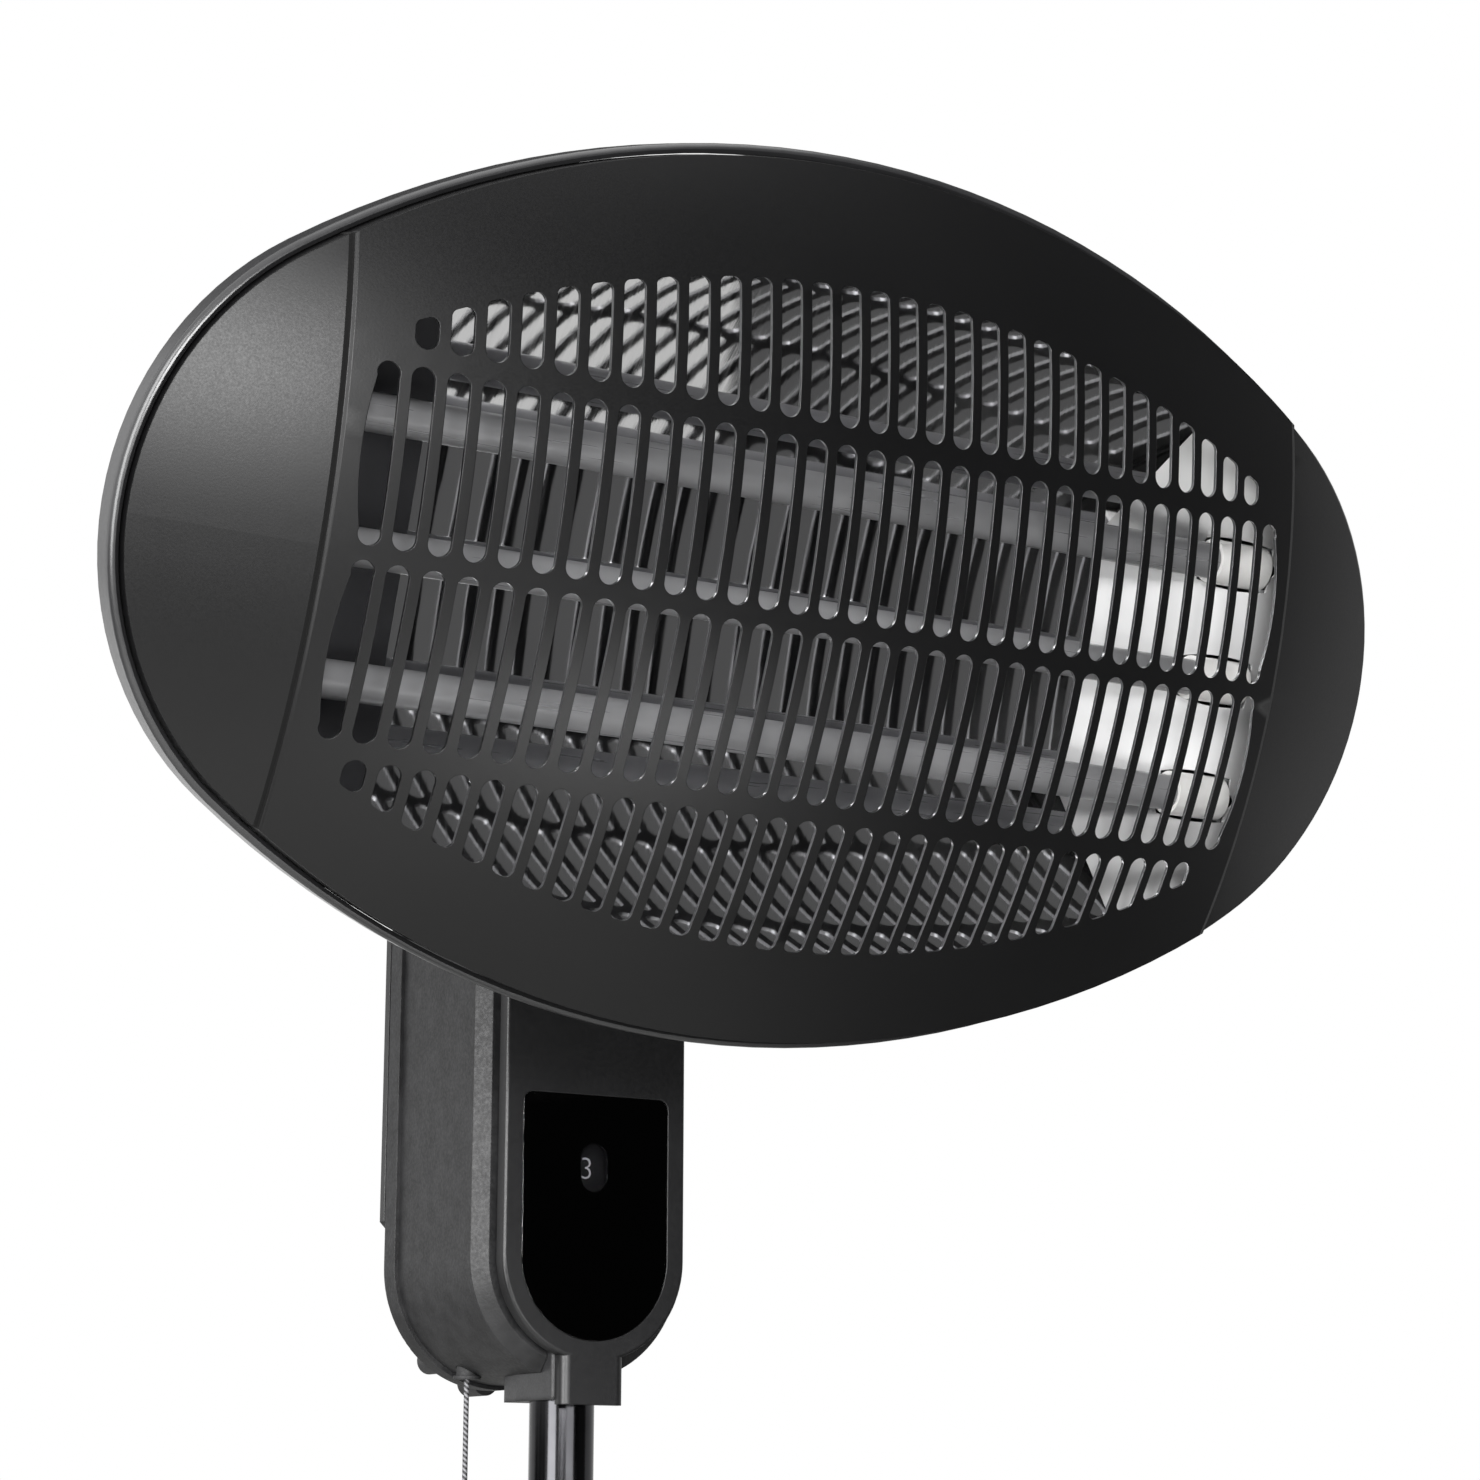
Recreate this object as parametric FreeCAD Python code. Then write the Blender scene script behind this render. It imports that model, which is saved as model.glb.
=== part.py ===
import FreeCAD, Part
import math
import os

# Free-standing quartz heater, in millimetres. The pole's axis is the Z axis, the floor is Z = 0 and the
# heater faces -Y. The head is drawn upright with the middle of its dome at the origin, then tilted.

V = FreeCAD.Vector
X_AXIS = V(1, 0, 0)
Y_AXIS = V(0, 1, 0)
Z_AXIS = V(0, 0, 1)

# Fits
run_gap = 0.05            # radial play of sliding and turning fits
seat_gap = 0.10           # play of pieces that are pushed or screwed together
free_gap = 0.40           # air beside pieces that turn

# Stand
base_radius = 215.0
base_skirt = 18.0         # upright edge of the base cover
base_crown = 14.0         # rise of the cover from its edge to the pole
base_sheet = 1.2
floor_gap = 4.0           # height of the cover's edge above the floor
weight_gap = 9.0          # air between the weight and the cover's edge
weight_thick = 14.0
hub_radius = 40.0         # flat middle of the cover and the weight's hub under it
foot_radius = 11.0
foot_height = 6.0
foot_ring = 172.0
foot_count = 5
base_bolt_d = 10.0
base_bolt_head = 6.4
base_bolt_flats = 17.0
base_washer_radius = 13.0
base_washer_thick = 1.6
plug_length = 32.0
flange_radius = 34.0
flange_height = 9.0

# Poles
pole_od = 22.0
pole_wall = 1.2
bush_wall = 1.8
bush_length = 30.0
lower_pole_length = 844.0
pole_travel = 500.0
pole_overlap = 90.0       # upper pole left in the lower one at full height
pole_shown = 270.0        # upper pole in sight at the lowest setting
slide_plug_length = 24.0
collar_wall = 6.0
collar_below = 26.0       # collar over the lower pole
collar_above = 26.0       # collar over the upper pole
collar_boss_radius = 10.0
collar_boss_length = 9.0

# Clamp knobs
knob_radius = 12.0
clamp_knob_radius = 15.0
knob_lobe_radius = 4.8
knob_lobes = 5
knob_height = 13.0
knob_neck_radius = 7.5
knob_neck = 4.0
clamp_neck = 6.5          # the rear knob stands clear of the rear plate
knob_turn = 79.0          # degrees to the first lobe
screw_d = 6.0

# Control box, measured from the pole's axis and from the middle of its round bottom
box_front = 22.4          # front face of the front cover
box_back = 56.5           # rear face of the rear cover
body_half = 40.0
body_wall = 2.5
body_chamfer = 4.6
body_start = 13.6         # front edge of the body, ahead of the axis
body_end = 47.0           # rear edge of the body, behind the axis
box_top = 132.0
socket_bottom = 46.8      # lower end of the pole socket, under the middle of the round bottom
cover_inset = 5.6         # front cover is narrower than the body by this on each side
cover_depth = 5.2
cover_wall = 2.0
cover_floor = 3.3
cover_round = 1.2
neck_inset = 0.2
neck_wall = 2.0
neck_reach = 5.0
tongue_half = 11.8
tongue_drop = 1.7         # the tongue reaches below the socket
tongue_round = 3.0
lens_border = 6.8
lens_top = 54.4
lens_corner = 3.5
lens_thick = 2.0
window_width = 10.2
window_height = 16.5
window_z = 30.2
rear_lip = 1.5
rear_wall = 2.0
rear_round = 1.6
plate_thick = 3.2
plate_bottom = 9.9
plate_top = 122.0
plate_chamfer = 6.0
post_radius = 5.0
post_inset = 7.0          # posts' axes inside the body's outer face
post_length = 20.0
post_high = 6.0           # upper posts below the box top
post_low = -4.0           # lower posts beside the middle of the round bottom
small_screw_d = 3.0
small_screw_head_d = 6.0
small_screw_head = 2.0
small_screw_length = 9.0
socket_wall = 1.8
socket_inner_wall = 3.0
socket_cap = 4.0
socket_taper_start = 9.0  # the socket's sides draw in behind this depth
socket_taper = 1.0
socket_back = 19.8
socket_step = 31.0        # the block ends this far under the middle of the round bottom
clamp_z = -23.3

# Pull switch
lever_arm = 17.9
lever_swing = 17.0        # degrees above and below level
lever_hub_radius = 4.2
lever_thick = 3.0
lever_z = 32.0
lever_tip_radius = 4.0
cord_y = 38.0
cord_d = 1.8
cord_length = 400.0
cord_pull_d = 13.0
cord_pull_length = 24.0
cord_pull_neck_d = 5.0
cord_pull_rim = 6.0
link_d = 1.5
link_hole_d = 4.4
link_bead_radius = 2.6
spring_wire = 0.9
spring_pitch = 1.35
spring_turns = 4
pin_d = 4.0
switch_half = 17.0
switch_front = 11.0
switch_back = 28.0
switch_bottom = 5.0
switch_top = 42.0
switch_ear = 2.0
switch_ear_height = 26.0
dial_radius = 24.0
dial_thick = 1.4
dial_ring = 14.0          # radius of the ring of figures
dial_gap = 1.6
shaft_d = 5.0
shaft_seat = 8.0
grommet_radius = 3.6
grommet_lip = 1.2
gland_radius = 6.0
gland_nut_radius = 8.5
gland_nut = 6.0
gland_dome = 7.0
gland_dome_foot = 7.2
gland_reach = 8.0
gland_dome_tip = 5.2
terminal_half = 16.0
terminal_depth = 13.0
terminal_height = 14.0
terminal_ways = 4
terminal_hole_d = 3.6
terminal_z = 70.0
tip_switch_width = 14.0
tip_switch_depth = 16.0
tip_switch_height = 20.0
tip_switch_x = 26.0

# Head: dome, rim and housing, with y as depth behind the middle of the dome
tilt = 19.5               # degrees that the face looks down at rest
apex_reach = 194.0        # middle of the dome ahead of the pole's axis
apex_rise = 178.2         # middle of the dome above the middle of the box's round bottom
dome_radius_across = 766.0
dome_radius_upright = 271.0
sheet = 1.2
rim_half_width = 228.9
rim_half_height = 141.6
rim_end_radius = 101.2
rim_lift = 2.4            # the oval's middle above the middle of the slots
panel_inset = 3.4         # the panel's edge inside the rim's outside
panel_depth = 47.0        # the panel's edge turns back to this depth
crease_x = 173.0
joggle = 1.1              # the side wings lie this much below the grille
wing_share = 0.77         # the wings' radius across as a share of the dome's
ring_front = 42.6
ring_back = 53.3
ring_flank = 45.5         # the ring's outside runs straight from here back
ring_bead = (0.45, 43.4)  # inset and depth of the bead's shoulder
ring_crest = 1.7
ring_fall = 0.9
ring_width = 3.0
housing_start = 48.2
housing_back = 95.0
housing_inset = 3.3
housing_slope = 11.0
housing_slope_depth = 68.0
housing_bend = (20.0, 87.5)
housing_flat = 42.0

# Grille
slot_pitch = 10.4
slot_width = 7.0
slot_columns = 32
row_near = 2.1            # the inner rows start this far from the middle line
row_far = 55.2
outer_row_near = 60.3
field_half_height = 103.5
field_arc_radius = 352.0
end_slot_bulge = 8.8
end_slot_tip = 6.4
end_slot_lift = 4.5
outer_slot_round = 2.4

# Reflector and tubes
reflector_depth = 67.4
reflector_front = 24.0
reflector_sheet = 0.8
reflector_flat = 42.3
reflector_bend = 5.0
reflector_slope = 33.0    # degrees
reflector_end_room = 4.9  # the ends' front inside the rim's outside, before the dome trims them
reflector_draw = 97.0     # the ends draw in by this to the flat back
reflector_air = 6.0       # from the outside of the dome to the reflector's front edges
gusset_out = (0.338, 0.838, 0.429)  # the way the upper right corner gusset's back faces
tube_od = 12.0
tube_wall = 1.2
tube_seat = 8.0           # tube inside its cap
tube_depth = 48.0
tube_spacing = 40.0
core_play = 0.5
core_wall = 1.0
core_short = 11.0         # the core ends this far inside the tube
cap_radius = 7.5
cap_length = 21.0
cap_setback = 45.0        # the caps' ends inside the untrimmed front corners
cap_play = 1.2            # air round the tubes and caps where they pass the reflector's ends
spigot_radius = 4.0
spigot_length = 2.6
bracket_sheet = 1.2
bracket_half_height = 50.0
bracket_front = 44.0
bracket_shoulder = 84.0   # behind this depth the bracket narrows to its stem
bracket_stem_half = 24.0
bracket_foot = 12.0
wire_d = 1.8
wire_bend = 3.0
cutout_radius = 8.0
cutout_height = 11.0
cutout_flange = 12.0
post_x = 120.0
post_z = 36.0
stand_off_radius = 4.0

# Tilt joint
hinge_back = 125.0        # behind the middle of the dome, in the head's own frame
hinge_drop = 35.0
hinge_bolt_d = 8.0
hinge_head = 5.3
hinge_flats = 13.0
knuckle_radius = 13.0
knuckle_half = 15.0
washer_thick = 0.8
washer_radius = 9.0
ear_thick = 3.0
ear_radius = 13.0
ear_root_half = 24.0
yoke_half_height = 34.0
yoke_half_width = 34.0
yoke_screw_x = 26.0
yoke_screw_z = 24.0
yoke_screw_d = 4.0
yoke_screw_head_d = 7.5
yoke_screw_head = 2.4
arm_foot_front = 10.0     # ahead of the pole's axis
arm_foot_back = 26.0
arm_foot_thick = 6.0
arm_screw_x = 8.2
arm_screw_y = 19.0
gland_x = 14.0
gland_y = 36.5
head_gland_x = 62.0
head_gland_z = -20.0

# Sizes that follow from those above
lower_pole_od = pole_od + 2 * (run_gap + bush_wall + run_gap + pole_wall)
lower_pole_id = lower_pole_od - 2 * pole_wall
pole_id = pole_od - 2 * pole_wall
weight_top = foot_height + weight_thick
skirt_top = floor_gap + base_skirt
crown_top = skirt_top + base_crown
lower_pole_top = crown_top + lower_pole_length
collar_top = lower_pole_top + collar_above
socket_low = collar_top + pole_shown
arc_z = socket_low + socket_bottom
pole_low = collar_top - pole_travel - pole_overlap
pole_high = arc_z - socket_cap / 2
apex_y = -apex_reach
apex_z = arc_z + apex_rise
cover_half = body_half - cover_inset
cavity_half = cover_half - cover_wall
lens_half = cover_half - lens_border
rear_half = body_half + rear_lip
inner_half = body_half - body_wall
lever_tilt = math.radians(lever_swing)
cord_x = -lever_arm * math.cos(lever_tilt)
cord_exit = arc_z - math.sqrt(body_half ** 2 - cord_x ** 2)
dial_z = window_z - dial_ring
dial_front = -box_front + cover_floor + dial_gap
reflector_edge = housing_slope + sheet + free_gap
reflector_half = rim_half_width - reflector_end_room
reflector_floor = reflector_half - reflector_draw
cap_outer = reflector_half - cap_setback
cap_inner = cap_outer - cap_length
spigot_end = cap_outer + spigot_length
tube_half = cap_inner + tube_seat
core_half = tube_half - core_short
tube_levels = {"upper": tube_spacing, "middle": 0.0, "lower": -tube_spacing}
sides = {"left": -1, "right": 1}

os.makedirs("parts", exist_ok=True)


def block(x0, x1, y0, y1, z0, z1):
    return Part.makeBox(x1 - x0, y1 - y0, z1 - z0, V(x0, y0, z0))


def rod(radius, length, start, axis=Z_AXIS):
    return Part.makeCylinder(radius, length, start, axis)


def pipe(outer, inner, length, start, axis=Z_AXIS):
    return rod(outer, length, start, axis).cut(rod(inner, length, start, axis))


def along(shape, start, axis):
    # Turns a shape that was drawn up the Z axis to lie along another axis.
    shape.Placement = FreeCAD.Placement(start, FreeCAD.Rotation(Z_AXIS, axis))
    return shape


def hexagon(flats, height):
    corner = flats / math.sqrt(3)
    turns = [math.radians(60 * i) for i in range(7)]
    ring = Part.makePolygon([V(corner * math.cos(t), corner * math.sin(t), 0) for t in turns])
    return Part.Face(ring).extrude(V(0, 0, height))


def outline(segments, place):
    # Joins lines (two points) and arcs (three points) given in a plane into a face.
    edges = []
    for points in segments:
        spots = [place(*point) for point in points]
        if len(spots) == 2:
            edges.append(Part.LineSegment(*spots).toShape())
        else:
            edges.append(Part.Arc(*spots).toShape())
    return Part.Face(Part.Wire(edges))


def turned(points):
    # A ring turned about the Z axis from its section, given as radius and height.
    ring = Part.makePolygon([V(r, 0, z) for r, z in points + points[:1]])
    return Part.Face(ring).revolve(V(0, 0, 0), Z_AXIS, 360)


def lobed_knob(neck, bore, radius=knob_radius):
    # A lobed hand knob that stands on its neck, drawn up the Z axis.
    top = rod(radius, knob_height, V(0, 0, neck))
    for i in range(knob_lobes):
        turn = math.radians(knob_turn + 360 * i / knob_lobes)
        middle = V(radius * math.cos(turn), radius * math.sin(turn), neck)
        top = top.fuse(rod(knob_lobe_radius, knob_height, middle))
    knob = top.fuse(rod(knob_neck_radius, neck + knob_height, V(0, 0, 0))).removeSplitter()
    return knob.cut(rod(bore / 2 + run_gap, neck + knob_height / 2, V(0, 0, 0)))


def export(name, *shapes):
    solids = [solid for shape in shapes for solid in shape.Solids]
    whole = solids[0] if len(solids) == 1 else Part.makeCompound(solids)
    for solid in solids:
        if not solid.isValid() or solid.Volume <= 0:
            print("faulty solid in", name)
    whole.exportStep("parts/" + name + ".step")
    print(name, len(solids), round(whole.Volume / 1000, 2), "cm3")


# The base and the lower pole
def make_base():
    skirt_in = base_radius - base_sheet
    hole = base_bolt_d / 2 + free_gap
    cover = turned([(hole, crown_top), (hub_radius, crown_top), (base_radius, skirt_top),
                    (base_radius, floor_gap), (skirt_in, floor_gap), (skirt_in, skirt_top - base_sheet),
                    (hub_radius, crown_top - base_sheet), (hole, crown_top - base_sheet)])
    weight_radius = skirt_in - weight_gap
    head_room = base_bolt_head + base_washer_thick + 2 * free_gap
    pocket = base_washer_radius + 2 * free_gap
    weight = rod(weight_radius, weight_thick, V(0, 0, foot_height))
    hub = rod(hub_radius - weight_gap, crown_top - base_sheet - weight_top, V(0, 0, weight_top))
    weight = weight.fuse(hub).removeSplitter()
    weight = weight.cut(rod(hole, crown_top, V(0, 0, 0)))
    weight = weight.cut(rod(pocket, head_room, V(0, 0, foot_height)))
    feet = []
    for i in range(foot_count):
        turn = math.radians(360 * i / foot_count)
        spot = V(foot_ring * math.sin(turn), foot_ring * math.cos(turn), 0)
        feet.append(rod(foot_radius, foot_height, spot))
    washer_z = foot_height + head_room - base_washer_thick
    washer = pipe(base_washer_radius, base_bolt_d / 2 + run_gap, base_washer_thick, V(0, 0, washer_z))
    bolt = hexagon(base_bolt_flats, base_bolt_head)
    bolt.translate(V(0, 0, washer_z - base_bolt_head))
    shank = crown_top + plug_length - washer_z - 2 * free_gap
    bolt = bolt.fuse(rod(base_bolt_d / 2, shank, V(0, 0, washer_z)))
    plug = pipe(lower_pole_id / 2 - run_gap, base_bolt_d / 2 + run_gap, plug_length, V(0, 0, crown_top))
    flange = turned([(lower_pole_od / 2 + run_gap, crown_top), (flange_radius, crown_top),
                     (flange_radius - flange_height / 2, crown_top + flange_height / 2),
                     (lower_pole_od / 2 + flange_height / 3, crown_top + flange_height),
                     (lower_pole_od / 2 + run_gap, crown_top + flange_height)])
    export("base_cover", cover)
    export("base_weight", weight)
    export("base_feet", *feet)
    export("base_washer", washer)
    export("base_bolt", bolt.removeSplitter())
    export("pole_plug", plug)
    export("pole_flange", flange)
    pole = pipe(lower_pole_od / 2, lower_pole_id / 2, lower_pole_length, V(0, 0, crown_top))
    export("lower_pole", pole)


# The collar that clamps the upper pole, with its bush and knob
def make_collar():
    screw_z = lower_pole_top + collar_above / 2
    radius = lower_pole_od / 2 + collar_wall
    boss_end = radius + collar_boss_length
    collar = rod(radius, collar_below + collar_above, V(0, 0, lower_pole_top - collar_below))
    collar = collar.fuse(rod(collar_boss_radius, boss_end, V(0, 0, screw_z), X_AXIS)).removeSplitter()
    below = V(0, 0, lower_pole_top - collar_below)
    collar = collar.cut(rod(lower_pole_od / 2 + run_gap, collar_below, below))
    collar = collar.cut(rod(pole_od / 2 + run_gap, collar_above, V(0, 0, lower_pole_top)))
    collar = collar.cut(rod(screw_d / 2 + run_gap, boss_end, V(0, 0, screw_z), X_AXIS))
    export("height_collar", collar)
    bush = pipe(lower_pole_id / 2 - run_gap, pole_od / 2 + run_gap, bush_length,
                V(0, 0, lower_pole_top - bush_length))
    export("pole_bush", bush)
    knob_x = boss_end + free_gap
    tip = pole_od / 2 + 2 * run_gap
    reach = knob_x + knob_neck + knob_height / 2 - tip
    export("height_knob", along(lobed_knob(knob_neck, screw_d), V(knob_x, 0, screw_z), X_AXIS))
    export("height_screw", rod(screw_d / 2, reach, V(tip, 0, screw_z), X_AXIS))


# The upper pole and the plug that guides its lower end
def make_upper_pole():
    export("upper_pole", pipe(pole_od / 2, pole_id / 2, pole_high - pole_low, V(0, 0, pole_low)))
    half = slide_plug_length / 2
    guide = rod(lower_pole_id / 2 - run_gap, half, V(0, 0, pole_low - half))
    stem = rod(pole_id / 2 - run_gap, half, V(0, 0, pole_low))
    export("pole_slide_plug", guide.fuse(stem).removeSplitter())


def u_plate(half, top, y0, y1, corner=0.0):
    # A plate with straight sides and a round bottom, as seen from the front.
    def place(x, z):
        return V(x, y0, arc_z + z)

    cut = corner * (1 - math.sqrt(0.5))
    segments = [[(-half, top - corner), (-half, 0)], [(-half, 0), (0, -half), (half, 0)],
                [(half, 0), (half, top - corner)], [(half - corner, top), (-half + corner, top)]]
    if corner:
        right = [(half, top - corner), (half - cut, top - cut), (half - corner, top)]
        left = [(-half + corner, top), (-half + cut, top - cut), (-half, top - corner)]
        segments = segments[:3] + [right, segments[3], left]
    return outline(segments, place).extrude(V(0, y1 - y0, 0))


def edges_at(shape, y):
    # The edges that lie in one upright plane square to Y.
    return [edge for edge in shape.Edges
            if abs(edge.BoundBox.YMin - y) < seat_gap and edge.BoundBox.YLength < seat_gap]


def socket_block(grow=0.0):
    # The pole socket's outside: a slim sleeve in the box and a block with chamfered rear corners below it.
    half = pole_od / 2 + socket_wall + grow
    front = -box_front + cover_depth + seat_gap - grow
    back = socket_back + grow
    right = [(half, front), (half, socket_taper_start), (half - socket_taper, back)]
    points = right + [(-x, y) for x, y in reversed(right)]
    ring = Part.makePolygon([V(x, y, socket_low) for x, y in points + points[:1]])
    lower = Part.Face(ring).extrude(V(0, 0, socket_bottom - socket_step + grow))
    step_z = arc_z - socket_step
    radius = pole_od / 2 + socket_inner_wall + grow
    sleeve = rod(radius, socket_step + socket_cap / 2 + grow, V(0, 0, step_z))
    return lower.fuse(sleeve).removeSplitter()


def screw_spots():
    side = body_half - post_inset
    return [(sign * side, z) for sign in (-1, 1) for z in (post_low, box_top - post_high)]


def plate_screw_spots():
    side = rear_half - post_inset
    return [(sign * side, plate_bottom + 2 * plate_chamfer) for sign in (-1, 1)]


def small_screw(start, axis):
    # A pan-head screw whose head stands on its seat and whose shank goes back from it.
    head = rod(small_screw_head_d / 2, small_screw_head, V(0, 0, 0))
    shank = rod(small_screw_d / 2, small_screw_length, V(0, 0, -small_screw_length))
    return along(head.fuse(shank).removeSplitter(), start, axis)


# The box's middle shell, with its front neck, screw posts and openings
def make_body():
    shell = u_plate(body_half, box_top, -body_start, body_end)
    shell = shell.makeChamfer(body_chamfer, edges_at(shell, -body_start))
    neck_half = cavity_half - neck_inset
    neck = u_plate(neck_half, box_top - cover_wall - neck_inset, -body_start - neck_reach, -body_start)
    shell = shell.fuse(neck)
    hollow = u_plate(inner_half, box_top - body_wall, -body_start + body_wall, body_end)
    mouth = u_plate(neck_half - neck_wall, box_top - cover_wall - neck_inset - neck_wall,
                    -body_start - neck_reach, -body_start + body_wall)
    shell = shell.cut(hollow.fuse(mouth))
    for x, z in screw_spots():
        post = rod(post_radius, post_length, V(x, body_end - post_length, arc_z + z), Y_AXIS)
        shell = shell.fuse(post)
    shell = shell.common(u_plate(body_half, box_top, -box_front, body_end)).removeSplitter()
    shell = shell.cut(socket_block(seat_gap))
    for x, z in screw_spots():
        start = V(x, body_end - post_length, arc_z + z)
        shell = shell.cut(rod(small_screw_d / 2 + seat_gap, post_length, start, Y_AXIS))
    bottom = arc_z - body_half
    top = arc_z + box_top - gland_reach - seat_gap
    shell = shell.cut(rod(grommet_radius + seat_gap, body_half, V(cord_x, cord_y, bottom)))
    shell = shell.cut(rod(gland_radius + seat_gap, body_half, V(-cord_x, cord_y, bottom)))
    shell = shell.cut(rod(gland_radius + seat_gap, body_half, V(gland_x, gland_y, top)))
    for x, y in arm_screw_spots():
        shell = shell.cut(rod(small_screw_d / 2 + seat_gap, body_half, V(x, y, top)))
    export("box_body", shell)


# The front cover with its lens recess, window and the tongue over the socket
def make_front_cover():
    back = -box_front + cover_depth
    cover = u_plate(cover_half, box_top, -box_front, back)
    cover = cover.makeFillet(cover_round, edges_at(cover, -box_front))
    low = socket_low - tongue_drop
    tongue = block(-tongue_half, tongue_half, -box_front, back, low, arc_z - cavity_half)
    uprights = [edge for edge in edges_at(tongue, -box_front) if edge.BoundBox.XLength < seat_gap]
    tongue = tongue.makeFillet(tongue_round, uprights)
    cover = cover.fuse(tongue).removeSplitter()
    cover = cover.cut(u_plate(cavity_half, box_top - cover_wall, -box_front + cover_floor, back))
    recess = -box_front + lens_thick
    cover = cover.cut(u_plate(lens_half + seat_gap, lens_top + seat_gap, -box_front, recess, lens_corner))
    window_side = window_height - window_width
    window = block(-window_width / 2, window_width / 2, -box_front, back,
                   arc_z + window_z - window_side / 2, arc_z + window_z + window_side / 2)
    for sign in (-1, 1):
        middle = V(0, -box_front, arc_z + window_z + sign * window_side / 2)
        window = window.fuse(rod(window_width / 2, cover_depth, middle, Y_AXIS))
    cover = cover.cut(window.removeSplitter())
    export("front_cover", cover)
    export("display_lens", u_plate(lens_half, lens_top, -box_front, recess, lens_corner))


# The rear cover with its screws, and the plate behind it
def make_rear_cover():
    cover = u_plate(rear_half, box_top + rear_lip, body_end, box_back)
    cover = cover.makeFillet(rear_round, edges_at(cover, box_back))
    hollow = u_plate(inner_half, box_top - body_wall, body_end, box_back - rear_wall)
    cover = cover.cut(hollow)
    for x, z in screw_spots():
        boss = rod(post_radius, box_back - rear_wall - body_end, V(x, body_end, arc_z + z), Y_AXIS)
        cover = cover.fuse(boss)
    cover = cover.removeSplitter()
    for x, z in screw_spots() + plate_screw_spots():
        cover = cover.cut(rod(small_screw_d / 2 + seat_gap, box_back, V(x, body_end, arc_z + z), Y_AXIS))
    cover = cover.cut(rod(screw_d / 2 + run_gap, box_back, V(0, body_end, arc_z + clamp_z), Y_AXIS))
    export("rear_cover", cover)
    screws = [small_screw(V(x, box_back, arc_z + z), Y_AXIS) for x, z in screw_spots()]
    plate_back = box_back + plate_thick
    screws += [small_screw(V(x, plate_back, arc_z + z), Y_AXIS) for x, z in plate_screw_spots()]
    export("cover_screws", *screws)


def make_rear_plate():
    plate_back = box_back + plate_thick
    plate = block(-rear_half, rear_half, box_back, plate_back, arc_z + plate_bottom, arc_z + plate_top)
    corners = [edge for edge in plate.Edges
               if edge.BoundBox.XLength < seat_gap and edge.BoundBox.ZLength < seat_gap]
    plate = plate.makeChamfer(plate_chamfer, corners)
    for x, z in plate_screw_spots():
        plate = plate.cut(rod(small_screw_d / 2 + seat_gap, plate_thick, V(x, box_back, arc_z + z), Y_AXIS))
    export("rear_plate", plate)


# The socket that the pole stands in, and the knob that clamps it from behind
def make_socket():
    socket = socket_block().cut(rod(pole_od / 2 + run_gap, pole_high - socket_low, V(0, 0, socket_low)))
    socket = socket.cut(rod(screw_d / 2 + run_gap, body_half, V(0, 0, arc_z + clamp_z), Y_AXIS))
    export("pole_socket", socket)
    tip = pole_od / 2 + 2 * run_gap
    knob_y = box_back + free_gap
    knob = lobed_knob(clamp_neck, screw_d, clamp_knob_radius)
    export("clamp_knob", along(knob, V(0, knob_y, arc_z + clamp_z), Y_AXIS))
    reach = knob_y + clamp_neck + knob_height / 2 - tip
    export("clamp_screw", rod(screw_d / 2, reach, V(0, tip, arc_z + clamp_z), Y_AXIS))


# The pull switch with its lever, spring and figure dial
def make_switch():
    pivot_z = arc_z + lever_z
    low = arc_z + switch_bottom
    body = block(-switch_half, switch_half, -switch_front, switch_back, low, arc_z + switch_top)
    wide = inner_half - seat_gap
    ears = block(-wide, wide, switch_back - switch_ear, switch_back, low, low + switch_ear_height)
    body = body.fuse(ears).removeSplitter()
    body = body.cut(rod(shaft_d / 2 + run_gap, shaft_seat, V(0, -switch_front, arc_z + dial_z), Y_AXIS))
    pin_seat = shaft_seat / 2
    body = body.cut(rod(pin_d / 2 + run_gap, pin_seat, V(0, switch_back - pin_seat, pivot_z), Y_AXIS))
    export("switch_body", body)
    lever_back = cord_y + lever_thick
    hub_start = switch_back + free_gap
    pin_start = V(0, switch_back - pin_seat, pivot_z)
    export("lever_pin", rod(pin_d / 2, lever_back - switch_back + pin_seat, pin_start, Y_AXIS))
    lever = rod(lever_hub_radius, lever_back - hub_start, V(0, hub_start, pivot_z), Y_AXIS)
    under = pivot_z - lever_thick / 2
    arm = block(-lever_arm, 0, cord_y - lever_thick, lever_back, under, under + lever_thick)
    tip = rod(lever_tip_radius, lever_thick, V(-lever_arm, cord_y, under))
    lever = lever.fuse([arm, tip]).removeSplitter()
    lever = lever.cut(rod(link_hole_d / 2, lever_thick, V(-lever_arm, cord_y, under)))
    lever = lever.cut(rod(pin_d / 2 + run_gap, lever_back - hub_start, V(0, hub_start, pivot_z), Y_AXIS))
    lever.rotate(V(0, 0, pivot_z), Y_AXIS, lever_swing)
    export("switch_lever", lever)
    export("return_spring", torsion_spring(hub_start, pivot_z))
    dial = rod(dial_radius, dial_thick, V(0, dial_front, arc_z + dial_z), Y_AXIS)
    dial = dial.cut(rod(shaft_d / 2 + run_gap, dial_thick, V(0, dial_front, arc_z + dial_z), Y_AXIS))
    export("indicator_disc", dial)
    shaft_length = -switch_front - dial_front + shaft_seat - free_gap
    export("indicator_shaft", rod(shaft_d / 2, shaft_length, V(0, dial_front, arc_z + dial_z), Y_AXIS))


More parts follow.
